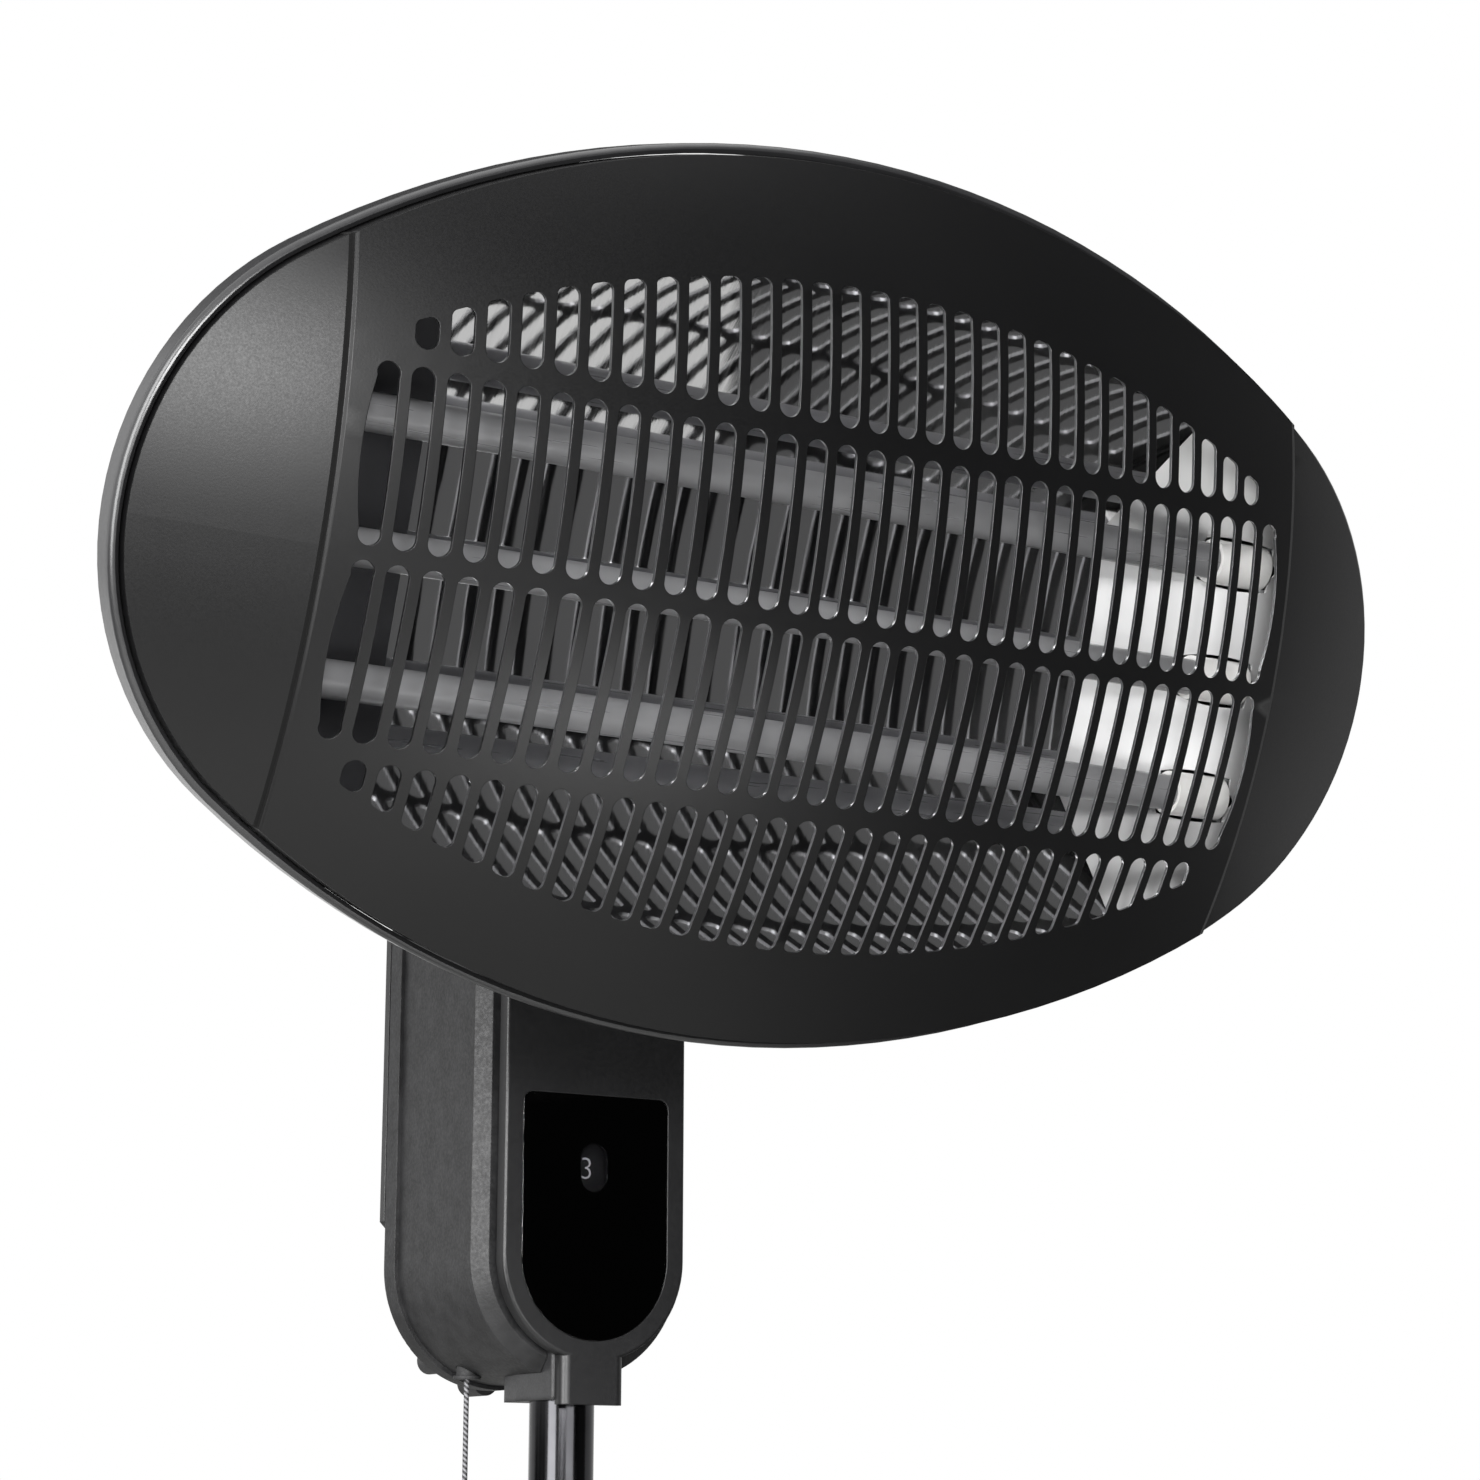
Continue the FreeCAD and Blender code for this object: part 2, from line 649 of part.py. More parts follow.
def torsion_spring(start, pivot_z):
    # The coil round the lever's hub, with the least gap between its turns printed.
    radius = lever_hub_radius + free_gap + spring_wire / 2
    lead = start + spring_wire / 2 + seat_gap
    spots = []
    for i in range(4 * spring_turns + 1):
        turn = math.radians(90 * i)
        rise = spring_pitch * i / 4
        spots.append(V(radius * math.cos(turn), radius * math.sin(turn), rise))
    helix = Part.makeHelix(spring_pitch, spring_pitch * spring_turns, radius)
    heading = V(0, 1, spring_pitch / (2 * math.pi * radius))
    profile = Part.Wire(Part.makeCircle(spring_wire / 2, V(radius, 0, 0), heading))
    coil = Part.Wire(helix.Edges).makePipeShell([profile], True, True)
    gap = min((a - b).Length for i, a in enumerate(spots) for b in spots[i + 4:]) - spring_wire
    print("return spring least gap", round(gap, 2))
    return along(coil, V(0, lead, pivot_z), Y_AXIS)


# The cord: its link inside the box, the free length and the pull at its end
def make_cord():
    pivot_z = arc_z + lever_z
    tip_z = pivot_z + lever_arm * math.sin(lever_tilt)
    bead_rise = (lever_thick / 2 + link_bead_radius + free_gap) / math.cos(lever_tilt)
    bead = Part.makeSphere(link_bead_radius, V(cord_x, cord_y, tip_z + bead_rise))
    link = rod(link_d / 2, tip_z + bead_rise - cord_exit, V(cord_x, cord_y, cord_exit))
    export("cord_link", bead.fuse(link).removeSplitter())
    cord_end = cord_exit - cord_length
    cord = rod(cord_d / 2, cord_length, V(cord_x, cord_y, cord_end))
    export("pull_cord", cord)
    section = cord_d ** 2 * math.pi / 4
    print("cord volume over section times length", round(cord.Volume / (section * cord_length), 3))
    half = cord_pull_d / 2
    low = -cord_pull_length
    neck = cord_pull_neck_d / 2
    pull = turned([(0, low), (half, low), (half, low + cord_pull_rim),
                   (neck, -cord_pull_rim), (neck, 0), (0, 0)])
    pull.translate(V(cord_x, cord_y, cord_end))
    export("cord_pull", pull)
    stem_low = cord_exit - 2 * grommet_lip
    start = V(cord_x, cord_y, stem_low)
    length = cord_exit + 3 * body_wall - stem_low
    stem = rod(grommet_radius, length, start)
    lip = rod(grommet_radius + grommet_lip, grommet_lip, start)
    trimmed = lip.cut(u_plate(body_half, box_top, -box_front, box_back))
    bore = rod(cord_d / 2 + free_gap, length, start)
    export("cord_grommet", stem.fuse(trimmed).removeSplitter().cut(bore))


def gland():
    # A cable gland drawn up the Z axis: a stem through the wall, its nut and the domed cap with its seal.
    stem = rod(gland_radius, gland_reach + gland_nut, V(0, 0, -gland_reach))
    nut = hexagon(gland_nut_radius * math.sqrt(3), gland_nut)
    end = gland_nut + gland_dome
    cap = turned([(0, gland_nut), (gland_dome_foot, gland_nut), (gland_dome_tip, end), (0, end)])
    bore = rod(gland_radius / 2, gland_dome, V(0, 0, gland_nut))
    return stem.fuse([nut, cap]).removeSplitter().cut(bore)


# Electrical pieces inside the box, and the glands for its leads
def make_fittings():
    back = box_back - rear_wall
    low = arc_z + terminal_z
    front = back - terminal_depth
    terminal = block(-terminal_half, terminal_half, front, back, low, low + terminal_height)
    step = 2 * terminal_half / terminal_ways
    for i in range(terminal_ways):
        start = V(-terminal_half + step * i + step / 2, front, low + terminal_height / 2)
        terminal = terminal.cut(rod(terminal_hole_d / 2, terminal_depth / 2, start, Y_AXIS))
    export("terminal_block", terminal)
    left = tip_switch_x - tip_switch_width / 2
    right = left + tip_switch_width
    tip_switch = block(left, right, back - tip_switch_depth, back, low, low + tip_switch_height)
    export("tip_over_switch", tip_switch)
    seat = arc_z - math.sqrt(body_half ** 2 - (-cord_x - gland_nut_radius) ** 2) - seat_gap
    export("mains_gland", along(gland(), V(-cord_x, cord_y, seat), V(0, 0, -1)))
    export("box_gland", along(gland(), V(gland_x, gland_y, arc_z + box_top), Z_AXIS))


def arm_screw_spots():
    return [(sign * arm_screw_x, arm_screw_y) for sign in (-1, 1)]


def hinge_place():
    lean = math.radians(tilt)
    y = apex_y + hinge_back * math.cos(lean) + hinge_drop * math.sin(lean)
    z = apex_z + hinge_back * math.sin(lean) - hinge_drop * math.cos(lean)
    return y, z


def tangent(point, centre, radius, side):
    # Where a line from a point touches a circle, on its left (+1) or right (-1).
    away = (point[0] - centre[0], point[1] - centre[1])
    distance = math.hypot(*away)
    turn = math.atan2(away[1], away[0]) + side * math.acos(radius / distance)
    return centre[0] + radius * math.cos(turn), centre[1] + radius * math.sin(turn), turn


# The arm on the box that carries the head's hinge, and the hinge's bolt and knob
def make_tilt_arm():
    hinge_y, hinge_z = hinge_place()
    foot_z = arc_z + box_top
    front = (-arm_foot_front, foot_z + arm_foot_thick)
    rear = (arm_foot_back - 2 * arm_foot_thick, foot_z + arm_foot_thick)
    low = tangent(front, (hinge_y, hinge_z), knuckle_radius, -1)
    high = tangent(rear, (hinge_y, hinge_z), knuckle_radius, 1)
    middle = (low[2] + high[2]) / 2 + math.pi
    crown = (hinge_y + knuckle_radius * math.cos(middle), hinge_z + knuckle_radius * math.sin(middle))
    foot = [(-arm_foot_front, foot_z), (arm_foot_back, foot_z), (arm_foot_back, foot_z + arm_foot_thick)]
    segments = [foot[:2], foot[1:], [foot[2], rear], [rear, high[:2]], [high[:2], crown, low[:2]],
                [low[:2], front], [front, foot[0]]]
    arm = outline(segments, lambda y, z: V(-knuckle_half, y, z)).extrude(V(2 * knuckle_half, 0, 0))
    start = V(-knuckle_half, hinge_y, hinge_z)
    arm = arm.cut(rod(hinge_bolt_d / 2 + run_gap, 2 * knuckle_half, start, X_AXIS))
    for x, y in arm_screw_spots():
        arm = arm.cut(rod(small_screw_d / 2 + seat_gap, 2 * arm_foot_thick, V(x, y, foot_z)))
    export("tilt_arm", arm)
    screw_z = foot_z + arm_foot_thick
    export("arm_screws", *[small_screw(V(x, y, screw_z), Z_AXIS) for x, y in arm_screw_spots()])


def make_tilt_bolt():
    hinge_y, hinge_z = hinge_place()
    bore = hinge_bolt_d / 2 + run_gap
    starts = [-knuckle_half - washer_thick, knuckle_half]
    washers = [pipe(washer_radius, bore, washer_thick, V(x, hinge_y, hinge_z), X_AXIS) for x in starts]
    export("tilt_washers", *washers)
    outer = knuckle_half + washer_thick + ear_thick
    head = along(hexagon(hinge_flats, hinge_head), V(-outer - hinge_head, hinge_y, hinge_z), X_AXIS)
    reach = 2 * outer + knob_neck + knob_height / 2
    bolt = head.fuse(rod(hinge_bolt_d / 2, reach, V(-outer, hinge_y, hinge_z), X_AXIS)).removeSplitter()
    export("tilt_bolt", bolt)
    knob = lobed_knob(knob_neck, hinge_bolt_d)
    export("tilt_knob", along(knob, V(outer + run_gap, hinge_y, hinge_z), X_AXIS))


def in_head(*shapes):
    # Tilts pieces drawn in the head's own frame and moves them to their place.
    placed = []
    for shape in shapes:
        moved = shape.copy()
        moved.rotate(V(0, 0, 0), X_AXIS, tilt)
        moved.translate(V(0, apex_y, apex_z))
        placed.append(moved)
    return placed


def oval_arcs():
    # The four tangent arcs of the rim's outside: centre, radius, first and last angle.
    end = rim_half_width - rim_end_radius
    spare = rim_half_height - rim_end_radius
    long_radius = (end ** 2 + rim_half_height ** 2 - rim_end_radius ** 2) / (2 * spare)
    drop = long_radius - rim_half_height
    join = math.atan2(drop, end)
    return [((end, rim_lift), rim_end_radius, -join, join),
            ((0, rim_lift - drop), long_radius, join, math.pi - join),
            ((-end, rim_lift), rim_end_radius, math.pi - join, math.pi + join),
            ((0, rim_lift + drop), long_radius, math.pi + join, 2 * math.pi - join)]


def oval_plate(inset, y0, y1):
    # A solid slice of the oval, drawn in from the rim's outside by an even inset.
    edges = []
    for centre, radius, first, last in oval_arcs():
        reach = radius - inset
        spots = [V(centre[0] + reach * math.cos(t), y0, centre[1] + reach * math.sin(t))
                 for t in (first, (first + last) / 2, last)]
        edges.append(Part.Arc(*spots).toShape())
    return Part.Face(Part.Wire(edges)).extrude(V(0, y1 - y0, 0))


def oval_ring(segments):
    # Carries a section, given as inset and depth, round the whole oval.
    ring = None
    for centre, radius, first, last in oval_arcs():
        def place(inset, depth):
            reach = radius - inset
            return V(centre[0] + reach * math.cos(first), depth, centre[1] + reach * math.sin(first))

        turn = math.degrees(last - first)
        sector = outline(segments, place).revolve(V(centre[0], 0, centre[1]), -Y_AXIS, turn)
        ring = sector if ring is None else ring.fuse(sector)
    return ring.removeSplitter()


def dome(sink, inset, depth, across=dome_radius_across, ahead=0.0):
    # The space behind the domed face, sunk by a distance, inside the oval and down to a depth.
    swing = across - dome_radius_upright
    ball = Part.makeTorus(swing, dome_radius_upright - sink, V(0, across - ahead, 0), Z_AXIS)
    return ball.common(oval_plate(inset, -sheet, depth))


def sag(radius, x):
    # How far an arc falls back at a distance from its middle.
    return radius - math.sqrt(radius ** 2 - x ** 2)


def stepped_dome(sink, inset, depth, step_x):
    # The dome with its side wings lowered by the joggle and bent further back.
    wide = rim_half_width
    bent = wing_share * dome_radius_across
    ahead = sag(bent, crease_x) - sag(dome_radius_across, crease_x) - joggle
    middle = block(-step_x, step_x, -sheet, depth, -wide, wide)
    wings = [block(-wide, -step_x, -sheet, depth, -wide, wide),
             block(step_x, wide, -sheet, depth, -wide, wide)]
    low = dome(sink, inset, depth, bent, ahead)
    parts = [low.common(wing) for wing in wings]
    return dome(sink, inset, depth).common(middle).fuse(parts).removeSplitter()


def slot_field():
    # The area that the slots fill: a long arc above and below.
    wide = slot_columns * slot_pitch / 2 + slot_pitch
    drop = field_arc_radius - field_half_height
    side = math.sqrt(field_arc_radius ** 2 - wide ** 2) - drop
    segments = [[(-wide, side), (0, field_half_height), (wide, side)], [(wide, side), (wide, -side)],
                [(wide, -side), (0, -field_half_height), (-wide, -side)], [(-wide, -side), (-wide, side)]]
    return outline(segments, lambda x, z: V(x, -sheet, z)).extrude(V(0, panel_depth, 0))


def slot(x, low, high):
    # One upright slot with round ends, through the whole depth of the panel.
    half = slot_width / 2
    left = x - half
    right = x + half
    segments = [[(left, low + half), (left, high - half)],
                [(left, high - half), (x, high), (right, high - half)],
                [(right, high - half), (right, low + half)],
                [(right, low + half), (x, low), (left, low + half)]]
    return outline(segments, lambda a, b: V(a, -sheet, b)).extrude(V(0, panel_depth, 0))


def end_slot(sign, low, high):
    # The outermost slots have a straight inner side and a bowed outer one.
    inner = sign * ((slot_columns - 1) * slot_pitch / 2 - slot_width / 2)
    tip = inner + sign * end_slot_tip
    bow = inner + sign * end_slot_bulge
    lift = end_slot_lift
    crest = inner + sign * end_slot_tip / 2
    segments = [[(inner, low + lift), (inner, high - lift)],
                [(inner, high - lift), (crest, high), (tip, high - lift)],
                [(tip, high - lift), (bow, (low + high) / 2), (tip, low + lift)],
                [(tip, low + lift), (crest, low), (inner, low + lift)]]
    return outline(segments, lambda a, b: V(a, -sheet, b)).extrude(V(0, panel_depth, 0))


def outer_slot(x, field):
    # A slot of the upper outer row. Its outer end follows the field's arc, with rounded corners.
    opening = slot(x, outer_row_near, field_half_height + slot_width).common(field)
    side_start = outer_row_near + slot_width / 2 + seat_gap
    ends = [[vertex.Point for vertex in edge.Vertexes] for edge in opening.Edges]
    corners = [edge for edge, points in zip(opening.Edges, ends)
               if len(points) == 2 and (points[0] - points[1]).cross(Y_AXIS).Length < seat_gap
               and points[0].z > side_start]
    return opening.makeFillet(outer_slot_round, corners)


# The slotted front panel
def make_grille():
    depth = panel_depth
    skin = stepped_dome(0.0, panel_inset, depth, crease_x)
    hollow = stepped_dome(sheet, panel_inset + sheet, depth, crease_x - sheet)
    panel = skin.cut(hollow)
    columns = [(i - (slot_columns - 1) / 2) * slot_pitch for i in range(1, slot_columns - 1)]
    slots = []
    for x in columns:
        slots += [slot(x, row_near, row_far), slot(x, -row_far, -row_near)]
    for sign in (-1, 1):
        slots += [end_slot(sign, row_near, row_far), end_slot(sign, -row_far, -row_near)]
    field = slot_field()
    for x in columns:
        opening = outer_slot(x, field)
        slots += [opening, opening.mirror(V(0, 0, 0), Z_AXIS)]
    panel = panel.cut(Part.makeCompound(slots))
    export("front_grille", *in_head(panel))


# The rim ring and the dished rear housing
def make_housing():
    ring = oval_ring([[(0, ring_back), (0, ring_flank)],
                      [(0, ring_flank), ring_bead, (ring_crest, ring_front)],
                      [(ring_crest, ring_front), (ring_width, ring_front + ring_fall)],
                      [(ring_width, ring_front + ring_fall), (ring_width, ring_back)],
                      [(ring_width, ring_back), (0, ring_back)]])
    export("rim_ring", *in_head(ring))
    slant = sheet * math.sqrt(0.5)
    inner_bend = (housing_bend[0] + slant, housing_bend[1] - slant)
    inner_slope = (housing_slope + sheet, housing_slope_depth)
    start = housing_inset
    wall = oval_ring([[(start, housing_start), (housing_slope, housing_slope_depth)],
                      [(housing_slope, housing_slope_depth), housing_bend, (housing_flat, housing_back)],
                      [(housing_flat, housing_back), (housing_flat, housing_back - sheet)],
                      [(housing_flat, housing_back - sheet), inner_bend, inner_slope],
                      [inner_slope, (start + sheet, housing_start)],
                      [(start + sheet, housing_start), (start, housing_start)]])
    back = oval_plate(housing_flat, housing_back - sheet, housing_back)
    housing = wall.fuse(back).removeSplitter()
    inside = housing_back - 2 * sheet
    for x, z in yoke_screw_spots():
        housing = housing.cut(rod(yoke_screw_d / 2 + seat_gap, 4 * sheet, V(x, inside, z), Y_AXIS))
    gland_hole = rod(gland_radius + seat_gap, 4 * sheet, V(head_gland_x, inside, head_gland_z), Y_AXIS)
    export("rear_housing", *in_head(housing.cut(gland_hole)))
    export("head_gland", *in_head(along(gland(), V(head_gland_x, housing_back, head_gland_z), Y_AXIS)))


def yoke_screw_spots():
    return [(sx * yoke_screw_x, -hinge_drop + sz * yoke_screw_z) for sx in (-1, 1) for sz in (-1, 1)]


# The yoke on the housing that takes the tilt bolt
def make_yoke():
    plate = block(-yoke_half_width, yoke_half_width, housing_back, housing_back + ear_thick,
                  -hinge_drop - yoke_half_height, -hinge_drop + yoke_half_height)
    for x, z in yoke_screw_spots():
        plate = plate.cut(rod(yoke_screw_d / 2 + seat_gap, ear_thick, V(x, housing_back, z), Y_AXIS))
    ears = []
    inner = knuckle_half + washer_thick
    root = housing_back + ear_thick / 2
    for sign in (-1, 1):
        x = sign * (inner + ear_thick / 2) - ear_thick / 2
        upper = tangent((root, -hinge_drop + ear_root_half), (hinge_back, -hinge_drop), ear_radius, -1)
        lower = tangent((root, -hinge_drop - ear_root_half), (hinge_back, -hinge_drop), ear_radius, 1)
        segments = [[(root, -hinge_drop - ear_root_half), (root, -hinge_drop + ear_root_half)],
                    [(root, -hinge_drop + ear_root_half), upper[:2]],
                    [upper[:2], (hinge_back + ear_radius, -hinge_drop), lower[:2]],
                    [lower[:2], (root, -hinge_drop - ear_root_half)]]
        ear = outline(segments, lambda y, z: V(x, y, z)).extrude(V(ear_thick, 0, 0))
        start = V(x, hinge_back, -hinge_drop)
        ears.append(ear.cut(rod(hinge_bolt_d / 2 + run_gap, ear_thick, start, X_AXIS)))
    export("head_yoke", *in_head(plate.fuse(ears).removeSplitter()))
    screws = []
    for x, z in yoke_screw_spots():
        head = rod(yoke_screw_head_d / 2, yoke_screw_head, V(x, housing_back + ear_thick, z), Y_AXIS)
        shank = rod(yoke_screw_d / 2, ear_thick + 3 * sheet, V(x, housing_back - 3 * sheet, z), Y_AXIS)
        screws.append(head.fuse(shank).removeSplitter())
    export("yoke_screws", *in_head(*screws))


def end_slope():
    # The angle of the reflector's ends from its flat back.
    return math.atan2(reflector_depth - reflector_front, reflector_half - reflector_floor)


def trough(grow):
    # The reflector's inside, or its outside when grown by the sheet, as one block open to the front.
    half = reflector_half + grow / math.sin(end_slope())
    floor_half = reflector_floor + grow * math.tan(end_slope() / 2)
    plan = [(-half, reflector_front), (half, reflector_front), (floor_half, reflector_depth + grow),
            (-floor_half, reflector_depth + grow)]
    lean = math.radians(reflector_slope)
    centre = (reflector_depth - reflector_bend, reflector_flat)
    radius = reflector_bend + grow
    back = reflector_depth + grow
    touch = (centre[0] + radius * math.cos(lean), centre[1] + radius * math.sin(lean))
    bend = (centre[0] + radius * math.cos(lean / 2), centre[1] + radius * math.sin(lean / 2))
    reach = (touch[0] - reflector_front) / math.tan(lean)
    lip = (reflector_front, touch[1] + reach)
    upper = [[(back, reflector_flat), bend, touch], [touch, lip]]
    lower = [[(y, -z) for y, z in reversed(points)] for points in reversed(upper)]
    mouth = [[lip, (lip[0], -lip[1])]]
    floor = [[(back, -reflector_flat), (back, reflector_flat)]]
    face = outline(upper + mouth + lower + floor, lambda y, z: V(-half, y, z))
    ring = Part.makePolygon([V(x, y, -rim_half_width) for x, y in plan + plan[:1]])
    wedge = Part.Face(ring).extrude(V(0, 0, 2 * rim_half_width))
    inside = face.extrude(V(2 * half, 0, 0)).common(wedge)
    size = 2 * rim_half_width
    for sx, sz in ((-1, -1), (-1, 1), (1, -1), (1, 1)):
        out = V(sx * gusset_out[0], gusset_out[1], sz * gusset_out[2])
        corner = V(sx * reflector_floor, reflector_depth, sz * reflector_flat) + out * grow
        beyond = Part.makeBox(size, size, size, V(-size / 2, -size / 2, 0))
        inside = inside.cut(along(beyond, corner, out))
    return inside


# The polished reflector with its stand-offs and the thermal cut-out behind it
def make_reflector():
    shell = trough(reflector_sheet).cut(trough(0.0))
    shell = shell.common(dome(reflector_air, reflector_edge, housing_back))
    notches = [(reflector_floor, cap_outer, tube_od / 2), (cap_inner, cap_outer, cap_radius),
               (cap_outer, spigot_end, spigot_radius)]
    for sign in sides.values():
        for level in tube_levels.values():
            for inner, outer, radius in notches:
                start = V(sign * inner, tube_depth, level)
                shell = shell.cut(rod(radius + cap_play, outer - inner + cap_play, start, X_AXIS * sign))
    export("reflector", *in_head(shell))
    start = reflector_depth + reflector_sheet
    length = housing_back - sheet - start
    spots = [V(sx * post_x, start, sz * post_z) for sx in (-1, 1) for sz in (-1, 1)]
    stands = [rod(stand_off_radius, length, spot, Y_AXIS) for spot in spots]
    export("reflector_stand_offs", *in_head(*stands))
    cutout = rod(cutout_flange, reflector_sheet, V(0, start, 0), Y_AXIS)
    cutout = cutout.fuse(rod(cutout_radius, cutout_height, V(0, start, 0), Y_AXIS)).removeSplitter()
    export("thermal_cutout", *in_head(cutout))


def wire_x():
    return spigot_end + seat_gap + wire_bend


# The quartz tubes with their heating cores, ceramic caps, brackets and lead wires
def make_tubes():
    caps = []
    wires = []
    cores = []
    core_radius = tube_od / 2 - tube_wall - core_play
    for name, level in tube_levels.items():
        start = V(-tube_half, tube_depth, level)
        tube = pipe(tube_od / 2, tube_od / 2 - tube_wall, 2 * tube_half, start, X_AXIS)
        start = V(-core_half, tube_depth, level)
        core = pipe(core_radius, core_radius - core_wall, 2 * core_half, start, X_AXIS)
        cores.append(core)
        export("quartz_tube_" + name, *in_head(tube))
        for sign in sides.values():
            caps.append(end_cap(sign, level))
            wires.append(lead_wire(sign, level))
    export("heating_cores", *in_head(*cores))
    export("end_caps", *in_head(*caps))
    export("lead_wires", *in_head(*wires))
    for name, sign in sides.items():
        export("tube_bracket_" + name, *in_head(tube_bracket(sign)))


def end_cap(sign, level):
    # A ceramic cap over a tube's end, with the spigot that its bracket holds.
    axis = X_AXIS * sign
    start = V(sign * cap_inner, tube_depth, level)
    cap = rod(cap_radius, cap_outer - cap_inner, start, axis)
    spigot = rod(spigot_radius, spigot_end - cap_inner, start, axis)
    bore = rod(tube_od / 2 + run_gap, tube_half + seat_gap - cap_inner, start, axis)
    return cap.fuse(spigot).removeSplitter().cut(bore)


def lead_wire(sign, level):
    # A short wire out of the cap's end that turns back behind the reflector.
    x0 = spigot_end + seat_gap
    half_turn = math.radians(45)
    start = V(sign * x0, tube_depth, level)
    out = wire_bend * math.sin(half_turn)
    bend = V(sign * (x0 + out), tube_depth + wire_bend - out, level)
    turn = V(sign * (x0 + wire_bend), tube_depth + wire_bend, level)
    end = V(sign * (x0 + wire_bend), reflector_depth + wire_d, level)
    path = Part.Wire([Part.Arc(start, bend, turn).toShape(), Part.LineSegment(turn, end).toShape()])
    profile = Part.Wire(Part.makeCircle(wire_d / 2, start, X_AXIS))
    return path.makePipeShell([profile], True, False)


def tube_bracket(sign):
    # A plate behind the reflector's end with three notches for the caps, on a foot that lies on the housing.
    x0 = sign * (cap_outer + seat_gap)
    x1 = x0 + sign * bracket_sheet
    inner = x0 - sign * bracket_foot
    back = housing_back - sheet
    high = bracket_half_height
    stem_half = bracket_stem_half
    plate = block(min(x0, x1), max(x0, x1), bracket_front, bracket_shoulder, -high, high)
    stem = block(min(x0, x1), max(x0, x1), bracket_shoulder, back, -stem_half, stem_half)
    foot = block(min(inner, x1), max(inner, x1), back - bracket_sheet, back, -stem_half, stem_half)
    bracket = plate.fuse([stem, foot]).removeSplitter()
    bracket = bracket.cut(trough(reflector_sheet + free_gap))
    for level in tube_levels.values():
        start = V(x0 - sign * bracket_sheet / 2, tube_depth, level)
        bracket = bracket.cut(rod(spigot_radius + seat_gap, 2 * bracket_sheet, start, X_AXIS * sign))
    return bracket


make_base()
make_collar()
make_upper_pole()
make_body()
make_front_cover()
make_rear_cover()
make_rear_plate()
make_socket()
make_switch()
make_cord()
make_fittings()
make_tilt_arm()
make_tilt_bolt()
make_grille()
make_housing()
make_yoke()
make_reflector()
make_tubes()
print("hinge", [round(v, 2) for v in hinge_place()], "cord", round(cord_x, 3), cord_y, round(cord_exit, 3))
print("middle of the dome", apex_y, round(apex_z, 2), "round bottom", round(arc_z, 2), "collar", collar_top)
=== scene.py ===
import bpy
import bmesh
import math
from mathutils import Matrix, Vector


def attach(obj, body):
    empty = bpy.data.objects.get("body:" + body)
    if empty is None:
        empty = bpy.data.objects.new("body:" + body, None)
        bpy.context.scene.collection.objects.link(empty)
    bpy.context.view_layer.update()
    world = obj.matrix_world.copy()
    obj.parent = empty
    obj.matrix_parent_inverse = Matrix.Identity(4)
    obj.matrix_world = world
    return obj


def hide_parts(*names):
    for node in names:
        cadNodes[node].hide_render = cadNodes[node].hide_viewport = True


# Quartz heater on a telescopic stand. Metres, Z up, the heater faces -Y.
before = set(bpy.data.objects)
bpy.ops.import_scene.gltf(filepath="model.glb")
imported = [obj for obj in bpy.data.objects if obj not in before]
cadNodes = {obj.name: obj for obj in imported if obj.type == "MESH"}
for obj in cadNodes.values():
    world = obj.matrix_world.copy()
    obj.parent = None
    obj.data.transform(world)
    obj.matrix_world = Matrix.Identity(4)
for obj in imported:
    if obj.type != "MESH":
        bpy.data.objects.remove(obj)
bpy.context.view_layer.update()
scene = bpy.context.scene
metre = 1000.0   # millimetres, for the settings whose names end in Mm
print("frame loaded,", len(cadNodes), "solid nodes")


def linear(hexText, alpha=1.0):
    # sRGB hex to the linear numbers that shaders take
    parts = [int(hexText[i:i + 2], 16) / 255 for i in (1, 3, 5)]
    return tuple(c / 12.92 if c <= 0.04045 else ((c + 0.055) / 1.055) ** 2.4 for c in parts) + (alpha,)


def addNode(tree, kind, feeds=None, ramp=(), **settings):
    # one node, its settings, and what goes into its sockets: a value or another node's output
    node = tree.nodes.new(kind)
    for stop, (position, colour) in enumerate(ramp):
        node.color_ramp.elements[stop].position = position
        node.color_ramp.elements[stop].color = linear(colour)
    for name, value in settings.items():
        setattr(node, name, value)
    for name, value in (feeds or {}).items():
        if isinstance(value, bpy.types.NodeSocket):
            tree.links.new(value, node.inputs[name])
        else:
            node.inputs[name].default_value = value
    return node


def perMm(size):
    # texture scale for a pattern whose features are this many millimetres apart
    return metre / size


def newMaterial(name, colour, rough, metal=0.0):
    # a plain material, with the coordinates that its patterns are placed by
    material = bpy.data.materials.new(name)
    material.use_nodes = True
    tree = material.node_tree
    shader = tree.nodes["Principled BSDF"]
    shader.inputs["Base Color"].default_value = linear(colour)
    shader.inputs["Roughness"].default_value = rough
    shader.inputs["Metallic"].default_value = metal
    place = addNode(tree, "ShaderNodeTexCoord")
    return material, tree, shader, place


def linkObject(name, data):
    item = bpy.data.objects.new(name, data)
    scene.collection.objects.link(item)
    return item


def plainMesh(item):
    # what the evaluated object shows, as a mesh of its own
    bpy.context.view_layer.update()
    shown = item.evaluated_get(bpy.context.evaluated_depsgraph_get())
    return bpy.data.meshes.new_from_object(shown)


# Camera, at the photograph's angle
cameraSetup = {"place": (-0.5613, -1.0647, 1.1324), "yaw": 30.63, "pitch": 12.79, "roll": 0.18,
               "focalPixels": 3500.0, "imagePixels": 1480.0, "sensorMm": 36.0}


